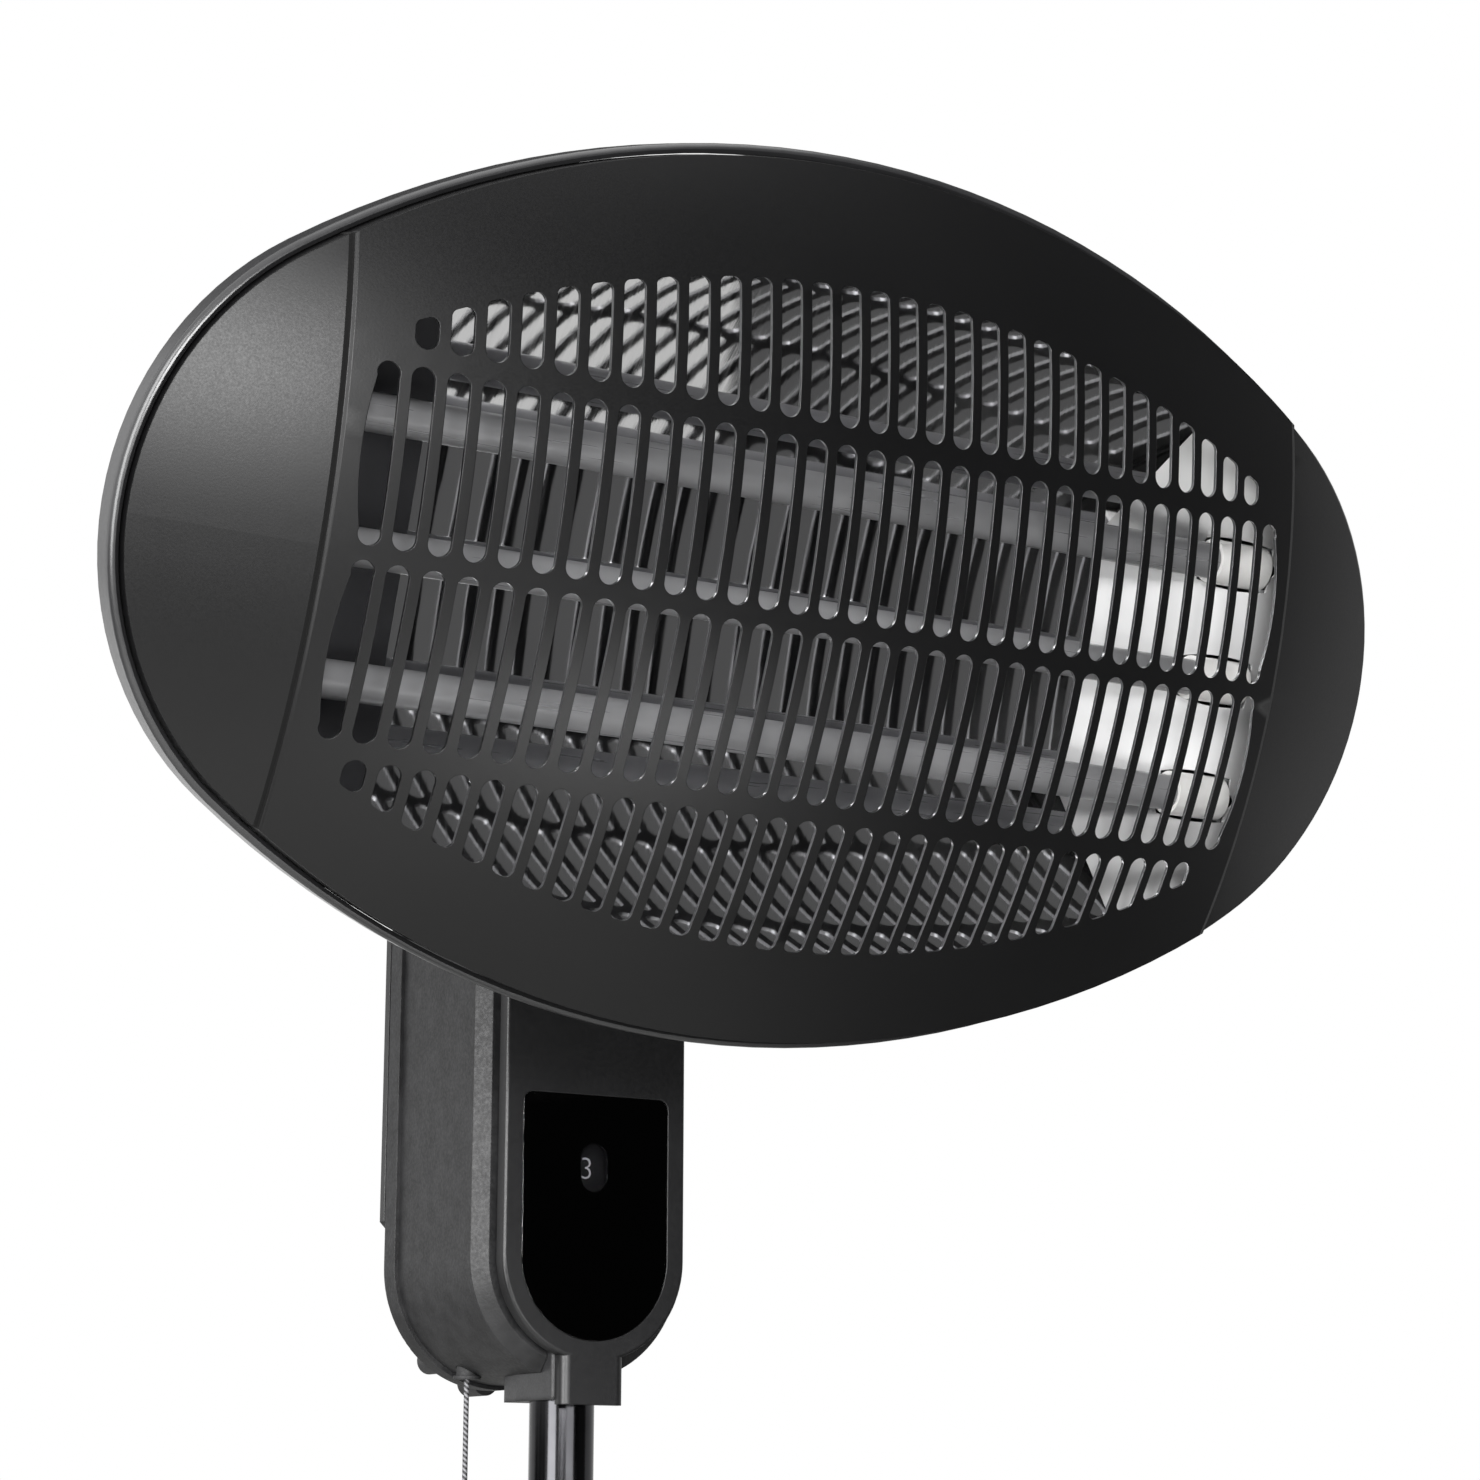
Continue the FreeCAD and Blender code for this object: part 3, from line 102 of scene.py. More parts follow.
def placeCamera(setup):
    yaw, pitch, roll = (math.radians(setup[key]) for key in ("yaw", "pitch", "roll"))
    ahead = Vector((math.sin(yaw) * math.cos(pitch), math.cos(yaw) * math.cos(pitch), math.sin(pitch)))
    level = Vector((math.cos(yaw), -math.sin(yaw), 0))
    upright = level.cross(ahead)
    right = level * math.cos(roll) + upright * math.sin(roll)
    up = upright * math.cos(roll) - level * math.sin(roll)
    data = bpy.data.cameras.new("photoCamera")
    data.sensor_width = setup["sensorMm"]
    data.lens = setup["focalPixels"] / setup["imagePixels"] * setup["sensorMm"]
    camera = linkObject("photoCamera", data)
    turn = Matrix((right, up, -ahead)).transposed().to_4x4()
    camera.matrix_world = Matrix.Translation(setup["place"]) @ turn
    scene.camera = camera


placeCamera(cameraSetup)
print("camera placed")

# Pull cord with its hand piece
cordSetup = {"exit": (-0.017118, 0.038, 1.186648), "length": 0.4, "diameter": 0.0018, "leadIn": 0.011,
             "curveOrder": 3, "roundness": 4,
             # the braid: strands, length of a twist, and where in its wave a crown starts and is full
             "strands": 2.0, "layMm": 1.8, "crown": (-0.75, 0.6), "crownHeight": 0.0002,
             # the crowns' colour, the painted shade in the gaps, and the roughness
             "light": "#7c7c7f", "dark": "#1a1a1b", "rough": 0.55}
bellSetup = {"steps": 48,
             # radius and height from the cord's end, down the outside and back up the hollow foot
             "outlineMm": [(0.0, 0.0), (1.5, -0.1), (2.2, -0.5), (2.5, -1.3), (2.5, -5.0), (2.8, -7.2),
                           (3.8, -11.0), (5.3, -15.4), (6.1, -18.2), (6.4, -20.0), (6.45, -22.6),
                           (6.2, -23.6), (5.6, -24.0), (4.9, -23.7), (4.5, -22.6), (3.9, -20.6),
                           (2.4, -19.4), (0.0, -19.2)]}


def braidMaterial(setup):
    # Braided nylon: two twisted strands, light on their crowns, with painted shade darkening the gaps between
    # them
    material, tree, shader, place = newMaterial("braidedNylon", setup["light"], setup["rough"])
    x, y, _ = setup["exit"]
    start, full = setup["crown"]
    about = addNode(tree, "ShaderNodeMapping", {"Vector": place.outputs["Object"], "Location": (-x, -y, 0)})
    axes = addNode(tree, "ShaderNodeSeparateXYZ", {"Vector": about.outputs[0]})
    angle = addNode(tree, "ShaderNodeMath", {0: axes.outputs["Y"], 1: axes.outputs["X"]}, operation="ARCTAN2")
    climb = addNode(tree, "ShaderNodeMath", {0: axes.outputs["Z"], 1: 2 * math.pi * perMm(setup["layMm"])},
                    operation="MULTIPLY")
    twist = addNode(tree, "ShaderNodeMath", {0: angle.outputs[0], 1: setup["strands"], 2: climb.outputs[0]},
                    operation="MULTIPLY_ADD")
    wave = addNode(tree, "ShaderNodeMath", {0: twist.outputs[0]}, operation="SINE")
    crown = addNode(tree, "ShaderNodeMapRange", {"Value": wave.outputs[0], "From Min": start,
                                                 "From Max": full})
    tint = addNode(tree, "ShaderNodeValToRGB", {"Fac": crown.outputs[0]},
                   ramp=[(0.0, setup["dark"]), (1.0, setup["light"])])
    relief = addNode(tree, "ShaderNodeBump", {"Height": crown.outputs[0], "Distance": setup["crownHeight"]})
    tree.links.new(tint.outputs["Color"], shader.inputs["Base Color"])
    tree.links.new(relief.outputs[0], shader.inputs["Normal"])
    return material


def makeCord(setup):
    curve = bpy.data.curves.new("pullCord", "CURVE")
    curve.dimensions = "3D"
    line = curve.splines.new("NURBS")
    start = Vector(setup["exit"])
    drops = (0.0, setup["leadIn"], setup["length"] - setup["leadIn"], setup["length"])
    line.points.add(len(drops) - 1)
    for point, drop in zip(line.points, drops):
        point.co = (start.x, start.y, start.z - drop, 1.0)
    line.order_u = setup["curveOrder"]
    line.use_endpoint_u = True
    curve.bevel_depth = setup["diameter"] / 2
    curve.bevel_resolution = setup["roundness"]
    curve.materials.append(braidMaterial(setup))
    return linkObject("pullCord", curve)


def makeBell(setup, foot):
    # rings of corners down the outline, closed at both ends by one corner on the axis
    steps = setup["steps"]
    outline = [(radius / metre, height / metre) for radius, height in setup["outlineMm"]]
    turns = [2 * math.pi * step / steps for step in range(steps)]
    corners = [foot + Vector((radius * math.cos(turn), radius * math.sin(turn), height))
               for radius, height in outline[1:-1] for turn in turns]
    top, hollow = len(corners), len(corners) + 1
    corners += [foot + Vector((0, 0, height)) for _, height in (outline[0], outline[-1])]
    starts = range(0, top, steps)
    faces = []
    for step in range(steps):
        after = (step + 1) % steps
        faces.append((top, step, after))
        faces += [(upper + step, lower + step, lower + after, upper + after)
                  for upper, lower in zip(starts, starts[1:])]
        faces.append((hollow, starts[-1] + after, starts[-1] + step))
    mesh = bpy.data.meshes.new("cordBell")
    mesh.from_pydata(corners, [], faces)
    mesh.shade_smooth()
    return linkObject("cordBell", mesh)


pullCord = makeCord(cordSetup)
cordEnd = Vector(cordSetup["exit"]) - Vector((0, 0, cordSetup["length"]))
cordBell = makeBell(bellSetup, cordEnd)
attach(pullCord, "pull")
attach(cordBell, "pull")
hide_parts("pull_cord")
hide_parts("cord_pull")
print("cord hung,", cordSetup["length"], "m")

# The head's own directions
headLean = math.radians(19.5)
headAxis = (0.0, math.cos(headLean), math.sin(headLean))   # straight back through the head
domeMiddleMm = (-194.0, 1401.0)                            # y and z of the middle of the dome


def headPoint(x, depth, z):
    # from the head's own millimetres (depth behind the middle of the dome) to the frame's metres
    y = domeMiddleMm[0] + depth * math.cos(headLean) - z * math.sin(headLean)
    up = domeMiddleMm[1] + depth * math.sin(headLean) + z * math.cos(headLean)
    return Vector((x / metre, y / metre, up / metre))


# Finishes, and what they all share: the noises' middle span and detail, and heights in metres
grainSetup = {"toneStops": (0.32, 0.68), "grainSpan": (0.3, 0.7), "grainDetail": 3.0, "patchDetail": 2.0,
              "edgeSamples": 6, "grainHeight": 0.0001, "waveHeight": 0.001}


def etchAndShadeEnds(tree, place, ends, colour, rough):
    # the sloping ends are etched, not polished: the end facing -X stays pale, and the end facing +X is
    # painted darker as painted shade
    turned = addNode(tree, "ShaderNodeSeparateXYZ", {"Vector": place.outputs["Normal"]})
    for endColour, endRough, start, full in ends:
        etched = addNode(tree, "ShaderNodeMapRange", {"Value": turned.outputs["X"], "From Min": start,
                                                      "From Max": full})
        tinted = addNode(tree, "ShaderNodeMixRGB", {"Fac": etched.outputs[0], "Color1": colour,
                                                    "Color2": linear(endColour)})
        dull = addNode(tree, "ShaderNodeMapRange", {"Value": etched.outputs[0], "To Min": rough,
                                                    "To Max": endRough})
        colour, rough = tinted.outputs[0], dull.outputs[0]
    return colour, rough


def markPanel(tree, shader, place, bevel, setup, colour, rough):
    # where the press cut the slots the coat is thin and shinier
    panel = setup["panel"]
    facing = addNode(tree, "ShaderNodeVectorMath", {0: place.outputs["Normal"], 1: headAxis},
                     operation="DOT_PRODUCT")
    across = addNode(tree, "ShaderNodeMath", {0: facing.outputs["Value"]}, operation="ABSOLUTE")
    upright = addNode(tree, "ShaderNodeMapRange", {"Value": across.outputs[0], "From Min": panel["cutStart"],
                                                   "From Max": panel["cutFull"]})
    turnBack = Matrix.Rotation(-headLean, 3, "X")
    head = addNode(tree, "ShaderNodeMapping", {"Vector": place.outputs["Object"],
                                               "Rotation": (-headLean, 0, 0),
                                               "Location": -(turnBack @ headPoint(0, 0, 0))})
    axes = addNode(tree, "ShaderNodeSeparateXYZ", {"Vector": head.outputs[0]})
    side = addNode(tree, "ShaderNodeMath", {0: axes.outputs["X"]}, operation="ABSOLUTE")
    level = addNode(tree, "ShaderNodeMath", {0: axes.outputs["Z"]}, operation="ABSOLUTE")
    lift = addNode(tree, "ShaderNodeMath", {0: level.outputs[0], 1: panel["arcDrop"]}, operation="ADD")
    reach = addNode(tree, "ShaderNodeCombineXYZ", {"X": side.outputs[0], "Y": lift.outputs[0]})
    span = addNode(tree, "ShaderNodeVectorMath", {0: reach.outputs[0]}, operation="LENGTH")
    within = addNode(tree, "ShaderNodeMath", {0: span.outputs["Value"], 1: panel["arcRadius"]},
                     operation="LESS_THAN")
    between = addNode(tree, "ShaderNodeMath", {0: side.outputs[0], 1: panel["halfWidth"]},
                      operation="LESS_THAN")
    field = addNode(tree, "ShaderNodeMath", {0: within.outputs[0], 1: between.outputs[0]},
                    operation="MULTIPLY")
    cut = addNode(tree, "ShaderNodeMath", {0: upright.outputs[0], 1: field.outputs[0]}, operation="MULTIPLY")
    edge = addNode(tree, "ShaderNodeMixRGB", {"Fac": cut.outputs[0], "Color1": colour,
                                              "Color2": linear(panel["cutColour"])})
    shine = addNode(tree, "ShaderNodeMapRange", {"Value": cut.outputs[0], "To Min": rough,
                                                 "To Max": panel["cutRough"]})
    crisp = addNode(tree, "ShaderNodeMapRange", {"Value": field.outputs[0], "To Min": setup["edgeMm"] / metre,
                                                 "To Max": panel["cutEdgeMm"] / metre})
    tree.links.new(crisp.outputs[0], bevel.inputs["Radius"])
    tree.links.new(cut.outputs[0], shader.inputs["Metallic"])
    # the creases: the panel's edge rolls over, and a thin dark line of painted shade runs along the foot of
    # each crease
    roll = addNode(tree, "ShaderNodeMapRange", {"Value": side.outputs[0], "From Min": panel["rollStart"],
                                                "From Max": panel["creaseShadeStart"], "To Min": 1.0, "To Max": 0.0},
                   interpolation_type="SMOOTHSTEP")
    rolled = addNode(tree, "ShaderNodeBump", {"Height": roll.outputs[0], "Distance": panel["rollHeight"],
                                              "Normal": bevel.outputs[0]})
    past = addNode(tree, "ShaderNodeMath", {0: side.outputs[0], 1: panel["creaseShadeStart"]},
                   operation="GREATER_THAN")
    before = addNode(tree, "ShaderNodeMath", {0: side.outputs[0], 1: panel["creaseShadeEnd"]}, operation="LESS_THAN")
    creaseShade = addNode(tree, "ShaderNodeMath", {0: past.outputs[0], 1: before.outputs[0]}, operation="MULTIPLY")
    # painted shade: near black and dull along the crease line
    shade = addNode(tree, "ShaderNodeMixRGB", {"Fac": creaseShade.outputs[0], "Color1": edge.outputs[0],
                                               "Color2": linear(panel["creaseShadeColour"])})
    dull = addNode(tree, "ShaderNodeMapRange", {"Value": creaseShade.outputs[0], "To Min": shine.outputs[0],
                                                "To Max": panel["creaseShadeRough"]})
    return shade.outputs[0], dull.outputs[0], rolled.outputs[0]


def makeFinish(name, setup):
    # two close tones in slow patches, gloss and relief in a fine grain, and edges rounded as the
    # process leaves them
    material, tree, shader, place = newMaterial(name, setup["tones"][0], setup["rough"][0],
                                                setup.get("metal", 0.0))
    for label, value in setup.get("sockets", {}).items():
        shader.inputs[label].default_value = value
    stretch = addNode(tree, "ShaderNodeMapping", {"Vector": place.outputs["Object"],
                                                  "Scale": tuple(perMm(size) for size in setup["grainMm"])})
    grain = addNode(tree, "ShaderNodeTexNoise", {"Vector": stretch.outputs[0], "Scale": 1.0,
                                                 "Detail": grainSetup["grainDetail"]})
    patch = addNode(tree, "ShaderNodeTexNoise", {"Vector": place.outputs["Object"],
                                                 "Scale": perMm(setup["patchMm"]),
                                                 "Detail": grainSetup["patchDetail"]})
    tone = addNode(tree, "ShaderNodeValToRGB", {"Fac": patch.outputs["Fac"]},
                   ramp=list(zip(grainSetup["toneStops"], setup["tones"])))
    low, high = grainSetup["grainSpan"]
    gloss = addNode(tree, "ShaderNodeMapRange", {"Value": grain.outputs["Fac"], "From Min": low,
                                                 "From Max": high, "To Min": setup["rough"][0],
                                                 "To Max": setup["rough"][1]})
    bevel = addNode(tree, "ShaderNodeBevel", {"Radius": setup["edgeMm"] / metre},
                    samples=grainSetup["edgeSamples"])
    colour, rough, normal = tone.outputs["Color"], gloss.outputs[0], bevel.outputs[0]
    if "ends" in setup:
        colour, rough = etchAndShadeEnds(tree, place, setup["ends"], colour, rough)
    if "panel" in setup:
        colour, rough, normal = markPanel(tree, shader, place, bevel, setup, colour, rough)
    relief = addNode(tree, "ShaderNodeBump", {"Height": grain.outputs["Fac"], "Strength": setup["relief"],
                                              "Distance": grainSetup["grainHeight"], "Normal": normal})
    if "wave" in setup:
        relief = addNode(tree, "ShaderNodeBump", {"Height": patch.outputs["Fac"], "Strength": setup["wave"],
                                                  "Distance": grainSetup["waveHeight"],
                                                  "Normal": relief.outputs[0]})
    tree.links.new(colour, shader.inputs["Base Color"])
    tree.links.new(rough, shader.inputs["Roughness"])
    tree.links.new(relief.outputs[0], shader.inputs["Normal"])
    return material


finishSetup = {
    # satin black with a fine sandy grain, a soft broad highlight and bright cut sides
    "satinPowderCoat": {
        "tones": ("#070708", "#0a0a0b"), "rough": (0.35, 0.42), "grainMm": (0.7, 0.7, 0.7), "patchMm": 60.0,
        "relief": 0.16, "edgeMm": 0.4, "sockets": {"Specular IOR Level": 0.38},
        "panel": {
            # the cut sides, and the lean away from the face at which they start and are full
            "cutColour": "#8a8a8c", "cutRough": 0.28, "cutEdgeMm": 0.30, "cutStart": 0.45, "cutFull": 0.2,
            # in metres: the slots' half width, how far past the middle their arcs are centred, and the radius
            "halfWidth": 0.1705, "arcDrop": 0.2485, "arcRadius": 0.3535,
            # in metres from the middle: the rolled edge and the line of painted shade at the crease, then
            # that shade's colour and roughness
            "rollStart": 0.1716, "creaseShadeStart": 0.1729, "creaseShadeEnd": 0.1741, "rollHeight": 0.0005,
            "creaseShadeColour": "#040404", "creaseShadeRough": 0.95}},
    # the same coat on the other pressings, which have no cut sides in sight
    "satinPowderCoatStand": {
        "tones": ("#0d0d0e", "#101011"), "rough": (0.35, 0.42), "grainMm": (0.7, 0.7, 0.7), "patchMm": 60.0,
        "relief": 0.35, "edgeMm": 0.8},
    # smoother and shinier than the panel, so the bead takes a white line
    "bakedEnamel": {
        "tones": ("#222223", "#282829"), "rough": (0.30, 0.36), "grainMm": (1.5, 1.5, 1.5), "patchMm": 40.0,
        "relief": 0.08, "edgeMm": 0.4, "sockets": {"Coat Weight": 0.45, "Coat Roughness": 0.18}},
    # eroded tool texture: dull, mottled grey-black
    "sparkErodedAbs": {
        "tones": ("#0f0f10", "#1d1d1e"), "rough": (0.42, 0.6), "grainMm": (1.1, 1.1, 1.1), "patchMm": 6.0,
        "relief": 0.8, "edgeMm": 0.5, "sockets": {"Specular IOR Level": 0.42}},
    # the same plastic with the socket's wide soft corners
    "roundedAbs": {
        "tones": ("#1b1b1c", "#232324"), "rough": (0.35, 0.5), "grainMm": (0.7, 0.7, 0.7), "patchMm": 7.0,
        "relief": 0.3, "edgeMm": 2.4},
    # the front cover: darker and smoother than the shell
    "satinAbs": {
        "tones": ("#0e0e0f", "#121213"), "rough": (0.34, 0.42), "grainMm": (1.2, 1.2, 1.2), "patchMm": 20.0,
        "relief": 0.12, "edgeMm": 0.5},
    # near-black moulding with a dull skin
    "mouldedNylon": {
        "tones": ("#1e1e1f", "#272728"), "rough": (0.45, 0.55), "grainMm": (0.9, 0.9, 0.9), "patchMm": 8.0,
        "relief": 0.3, "edgeMm": 0.6},
    # pale electrical plastic, inside only
    "mouldedPbt": {
        "tones": ("#cfcbc0", "#d9d6cc"), "rough": (0.45, 0.55), "grainMm": (1.0, 1.0, 1.0), "patchMm": 9.0,
        "relief": 0.2, "edgeMm": 0.3},
    # flat, nearly black face behind the figures
    "printedDial": {
        "tones": ("#050506", "#070708"), "rough": (0.5, 0.6), "grainMm": (0.8, 0.8, 0.8), "patchMm": 6.0,
        "relief": 0.1, "edgeMm": 0.2},
    # matt and slightly dusty
    "nitrileRubber": {
        "tones": ("#19191a", "#202021"), "rough": (0.65, 0.8), "grainMm": (0.8, 0.8, 0.8), "patchMm": 6.0,
        "relief": 0.4, "edgeMm": 0.5},
    # rough sand-cast skin under thin paint
    "paintedCastIron": {
        "tones": ("#3a3a3b", "#474748"), "rough": (0.6, 0.8), "grainMm": (1.6, 1.6, 1.6), "patchMm": 12.0,
        "relief": 0.9, "edgeMm": 1.0},
    # chalky white with a slight gleam
    "firedSteatite": {
        "tones": ("#f0efec", "#f6f5f3"), "rough": (0.3, 0.45), "grainMm": (0.9, 0.9, 0.9), "patchMm": 5.0,
        "relief": 0.15, "edgeMm": 0.4},
    # woven sleeve: dull, with light and dark threads
    "wovenGlassSleeve": {
        "tones": ("#2e2e30", "#505053"), "rough": (0.6, 0.8), "grainMm": (0.6, 0.6, 0.6), "patchMm": 0.9,
        "relief": 0.8, "edgeMm": 0.2},
    # dark mirror with faint lines along the draw
    "blackChrome": {
        "tones": ("#363638", "#3e3e40"), "rough": (0.10, 0.18), "grainMm": (0.9, 0.9, 45.0), "patchMm": 14.0,
        "relief": 0.02, "edgeMm": 0.3, "metal": 1.0, "wave": 0.02},
    # rolled mirror sheet: crisp, with a slight sway and rolling lines
    "polishedAluminium": {
        "tones": ("#d6d6d8", "#dededf"), "rough": (0.02, 0.06), "grainMm": (0.7, 30.0, 30.0), "patchMm": 45.0,
        "relief": 0.01, "edgeMm": 0.3, "metal": 1.0, "wave": 0.10,
        # colour, roughness, and the lean to left or right at which the etching starts and is full; the second
        # end's darker colour is painted shade
        "ends": (("#e4e4e4", 0.40, -0.15, -0.3), ("#5a5a5c", 0.42, 0.15, 0.3))},
    # dull silver
    "zincPlatedSteel": {
        "tones": ("#a9abad", "#b9bbbd"), "rough": (0.26, 0.38), "grainMm": (2.0, 2.0, 2.0), "patchMm": 10.0,
        "relief": 0.05, "edgeMm": 0.3, "metal": 1.0},
    # oiled black
    "blackOxideSteel": {
        "tones": ("#3a3a3c", "#444446"), "rough": (0.32, 0.45), "grainMm": (1.5, 1.5, 1.5), "patchMm": 6.0,
        "relief": 0.05, "edgeMm": 0.2, "metal": 1.0},
    # brownish grey wire that has been hot
    "oxidisedNichrome": {
        "tones": ("#6a655f", "#7a746c"), "rough": (0.5, 0.65), "grainMm": (1.0, 1.0, 1.0), "patchMm": 4.0,
        "relief": 0.1, "edgeMm": 0.1, "metal": 1.0},
    # flawless gloss with a light grey tint, so that only what lies close behind shows
    "tintedAcrylic": {
        "tones": ("#cacacd", "#ceced1"), "rough": (0.01, 0.03), "grainMm": (9.0, 9.0, 9.0), "patchMm": 15.0,
        "relief": 0.0, "edgeMm": 0.4, "sockets": {"Transmission Weight": 1.0, "IOR": 1.49}},
    # milky, with drawn lines along the tube and the coil only a shade inside it
    "frostedQuartz": {
        "tones": ("#8c8c8e", "#a0a0a2"), "rough": (0.25, 0.42), "grainMm": (60.0, 1.5, 1.5), "patchMm": 25.0,
        "relief": 0.1, "edgeMm": 0.2, "sockets": {"Transmission Weight": 0.35, "IOR": 1.46}},
}
finishes = {name: makeFinish(name, setup) for name, setup in finishSetup.items()}
cordBell.data.materials.append(finishes["mouldedNylon"])

coats = {
    "satinPowderCoat": ["front_grille"],
    "satinPowderCoatStand": ["rear_housing", "head_yoke", "tilt_arm", "base_cover", "rear_plate"],
    "bakedEnamel": ["rim_ring"],
    "sparkErodedAbs": ["box_body", "rear_cover", "pole_flange", "height_collar"],
    "roundedAbs": ["pole_socket"],
    "satinAbs": ["front_cover"],
    "mouldedNylon": ["clamp_knob", "height_knob", "tilt_knob", "mains_gland", "box_gland", "head_gland"],
    "mouldedPbt": ["switch_body", "switch_lever", "terminal_block", "tip_over_switch", "pole_bush",
                   "pole_slide_plug", "pole_plug", "tilt_washers"],
    "printedDial": ["indicator_disc"],
    "nitrileRubber": ["base_feet", "cord_grommet"],
    "paintedCastIron": ["base_weight"],
    "firedSteatite": ["end_caps"],
    "wovenGlassSleeve": ["lead_wires", "cord_link"],
    "blackChrome": ["upper_pole", "lower_pole"],
    "polishedAluminium": ["reflector"],
    "zincPlatedSteel": ["base_bolt", "base_washer", "height_screw", "clamp_screw", "lever_pin",
                        "return_spring", "indicator_shaft", "tilt_bolt", "tube_bracket_left",
                        "tube_bracket_right", "thermal_cutout", "reflector_stand_offs"],
    "blackOxideSteel": ["cover_screws", "arm_screws", "yoke_screws"],
    "oxidisedNichrome": ["heating_cores"],
    "tintedAcrylic": ["display_lens"],
    "frostedQuartz": ["quartz_tube_upper", "quartz_tube_middle", "quartz_tube_lower"],
}
for finish, names in coats.items():
    for name in names:
        for slot in cadNodes[name].material_slots:
            slot.material = finishes[finish]
print("finishes on", sum(len(names) for names in coats.values()), "nodes")


def newTree(name, inputs):
    # an empty geometry tree with its inputs, and its first and last nodes
    tree = bpy.data.node_groups.new(name, "GeometryNodeTree")
    tree.interface.new_socket("Geometry", in_out="INPUT", socket_type="NodeSocketGeometry")
    for label, kind in inputs.items():
        tree.interface.new_socket(label, in_out="INPUT", socket_type=kind)
    tree.interface.new_socket("Geometry", in_out="OUTPUT", socket_type="NodeSocketGeometry")
    return tree, addNode(tree, "NodeGroupInput"), addNode(tree, "NodeGroupOutput")


def growPiece(name, points, tree, values):
    # points carry the tree's pieces; the finished mesh keeps no modifier
    mesh = bpy.data.meshes.new(name)
    mesh.from_pydata([spot for spot, _ in points], [], [])
    along = mesh.attributes.new("along", "FLOAT_VECTOR", "POINT")
    for row, (_, axis) in zip(along.data, points):
        row.vector = axis
    item = linkObject(name, mesh)
    modifier = item.modifiers.new("grow", "NODES")
    modifier.node_group = tree
    for socket in tree.interface.items_tree:
        if socket.in_out == "INPUT" and socket.name in values:
            modifier[socket.identifier] = values[socket.name]
    grown = plainMesh(item)
    item.modifiers.remove(modifier)
    item.data = grown
    return item


# Heating coils inside the tubes
coilSetup = {"turns": 150.0, "halfLengthMm": 152.0, "coilRadius": 0.0034, "wireRadius": 0.0004,
             "turnPoints": 10, "wireSides": 5, "depthMm": 48.0, "levelsMm": (40.0, 0.0, -40.0)}


def coilTree(setup):
    tree, start, end = newTree("windCoil", {
        "Coil Radius": "NodeSocketFloat", "Wire Radius": "NodeSocketFloat", "Length": "NodeSocketFloat",
        "Turns": "NodeSocketFloat", "Wire": "NodeSocketMaterial"})
    helix = addNode(tree, "GeometryNodeCurveSpiral", {"Resolution": setup["turnPoints"],
                                                      "Rotations": start.outputs["Turns"],
                                                      "Start Radius": start.outputs["Coil Radius"],
                                                      "End Radius": start.outputs["Coil Radius"],
                                                      "Height": start.outputs["Length"]})
    section = addNode(tree, "GeometryNodeCurvePrimitiveCircle", {"Resolution": setup["wireSides"],
                                                                 "Radius": start.outputs["Wire Radius"]})
    wire = addNode(tree, "GeometryNodeCurveToMesh", {"Curve": helix.outputs[0],
                                                     "Profile Curve": section.outputs[0]})
    # the spiral climbs from its foot, so half its length back puts it in the middle
    half = addNode(tree, "ShaderNodeMath", {0: start.outputs["Length"], 1: -0.5}, operation="MULTIPLY")
    shift = addNode(tree, "ShaderNodeCombineXYZ", {"X": half.outputs[0]})
    level = addNode(tree, "GeometryNodeTransform", {"Geometry": wire.outputs[0],
                                                    "Translation": shift.outputs[0],
                                                    "Rotation": (0, math.pi / 2, 0)})
    placed = addNode(tree, "GeometryNodeInstanceOnPoints", {"Points": start.outputs["Geometry"],
                                                            "Instance": level.outputs[0]})
    real = addNode(tree, "GeometryNodeRealizeInstances", {"Geometry": placed.outputs[0]})
    wound = addNode(tree, "GeometryNodeSetMaterial", {"Geometry": real.outputs[0],
                                                      "Material": start.outputs["Wire"]})
    tree.links.new(wound.outputs[0], end.inputs["Geometry"])
    return tree


coilSpots = [(headPoint(0, coilSetup["depthMm"], z), (1, 0, 0)) for z in coilSetup["levelsMm"]]
heatingCoils = growPiece("heatingCoils", coilSpots, coilTree(coilSetup), {
    "Coil Radius": coilSetup["coilRadius"], "Wire Radius": coilSetup["wireRadius"],
    "Length": 2 * coilSetup["halfLengthMm"] / metre, "Turns": coilSetup["turns"],
    "Wire": finishes["oxidisedNichrome"]})
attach(heatingCoils, "head")
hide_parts("heating_cores")
print("coils wound,", len(heatingCoils.data.polygons), "faces")

# Pan-head screws with cross recesses
screwSetup = {
    # the recess in metres, and its length as a share of the head's radius
    "slotWidth": 0.0009, "slotDepth": 0.0011, "slotShare": 1.15,
    # the ball that a head is made from, and the block that cuts it flat as a multiple of its radius
    "segments": 28, "rings": 14, "blockShare": 4.0,
    # where the heads sit, those of the yoke in the head's own millimetres, and their radius and height
    "coverMm": ([(x, 56.5, z) for x in (-33, 33) for z in (1218.8, 1348.8)]
                + [(x, 59.7, 1244.7) for x in (-34.5, 34.5)]),
    "armMm": [(x, 19.0, 1360.8) for x in (-8.2, 8.2)],
    "yokeMm": [(x, 98.0, -35.0 + z) for x in (-26, 26) for z in (-24, 24)],
    "smallMm": (3.0, 2.0), "largeMm": (3.75, 2.4)}


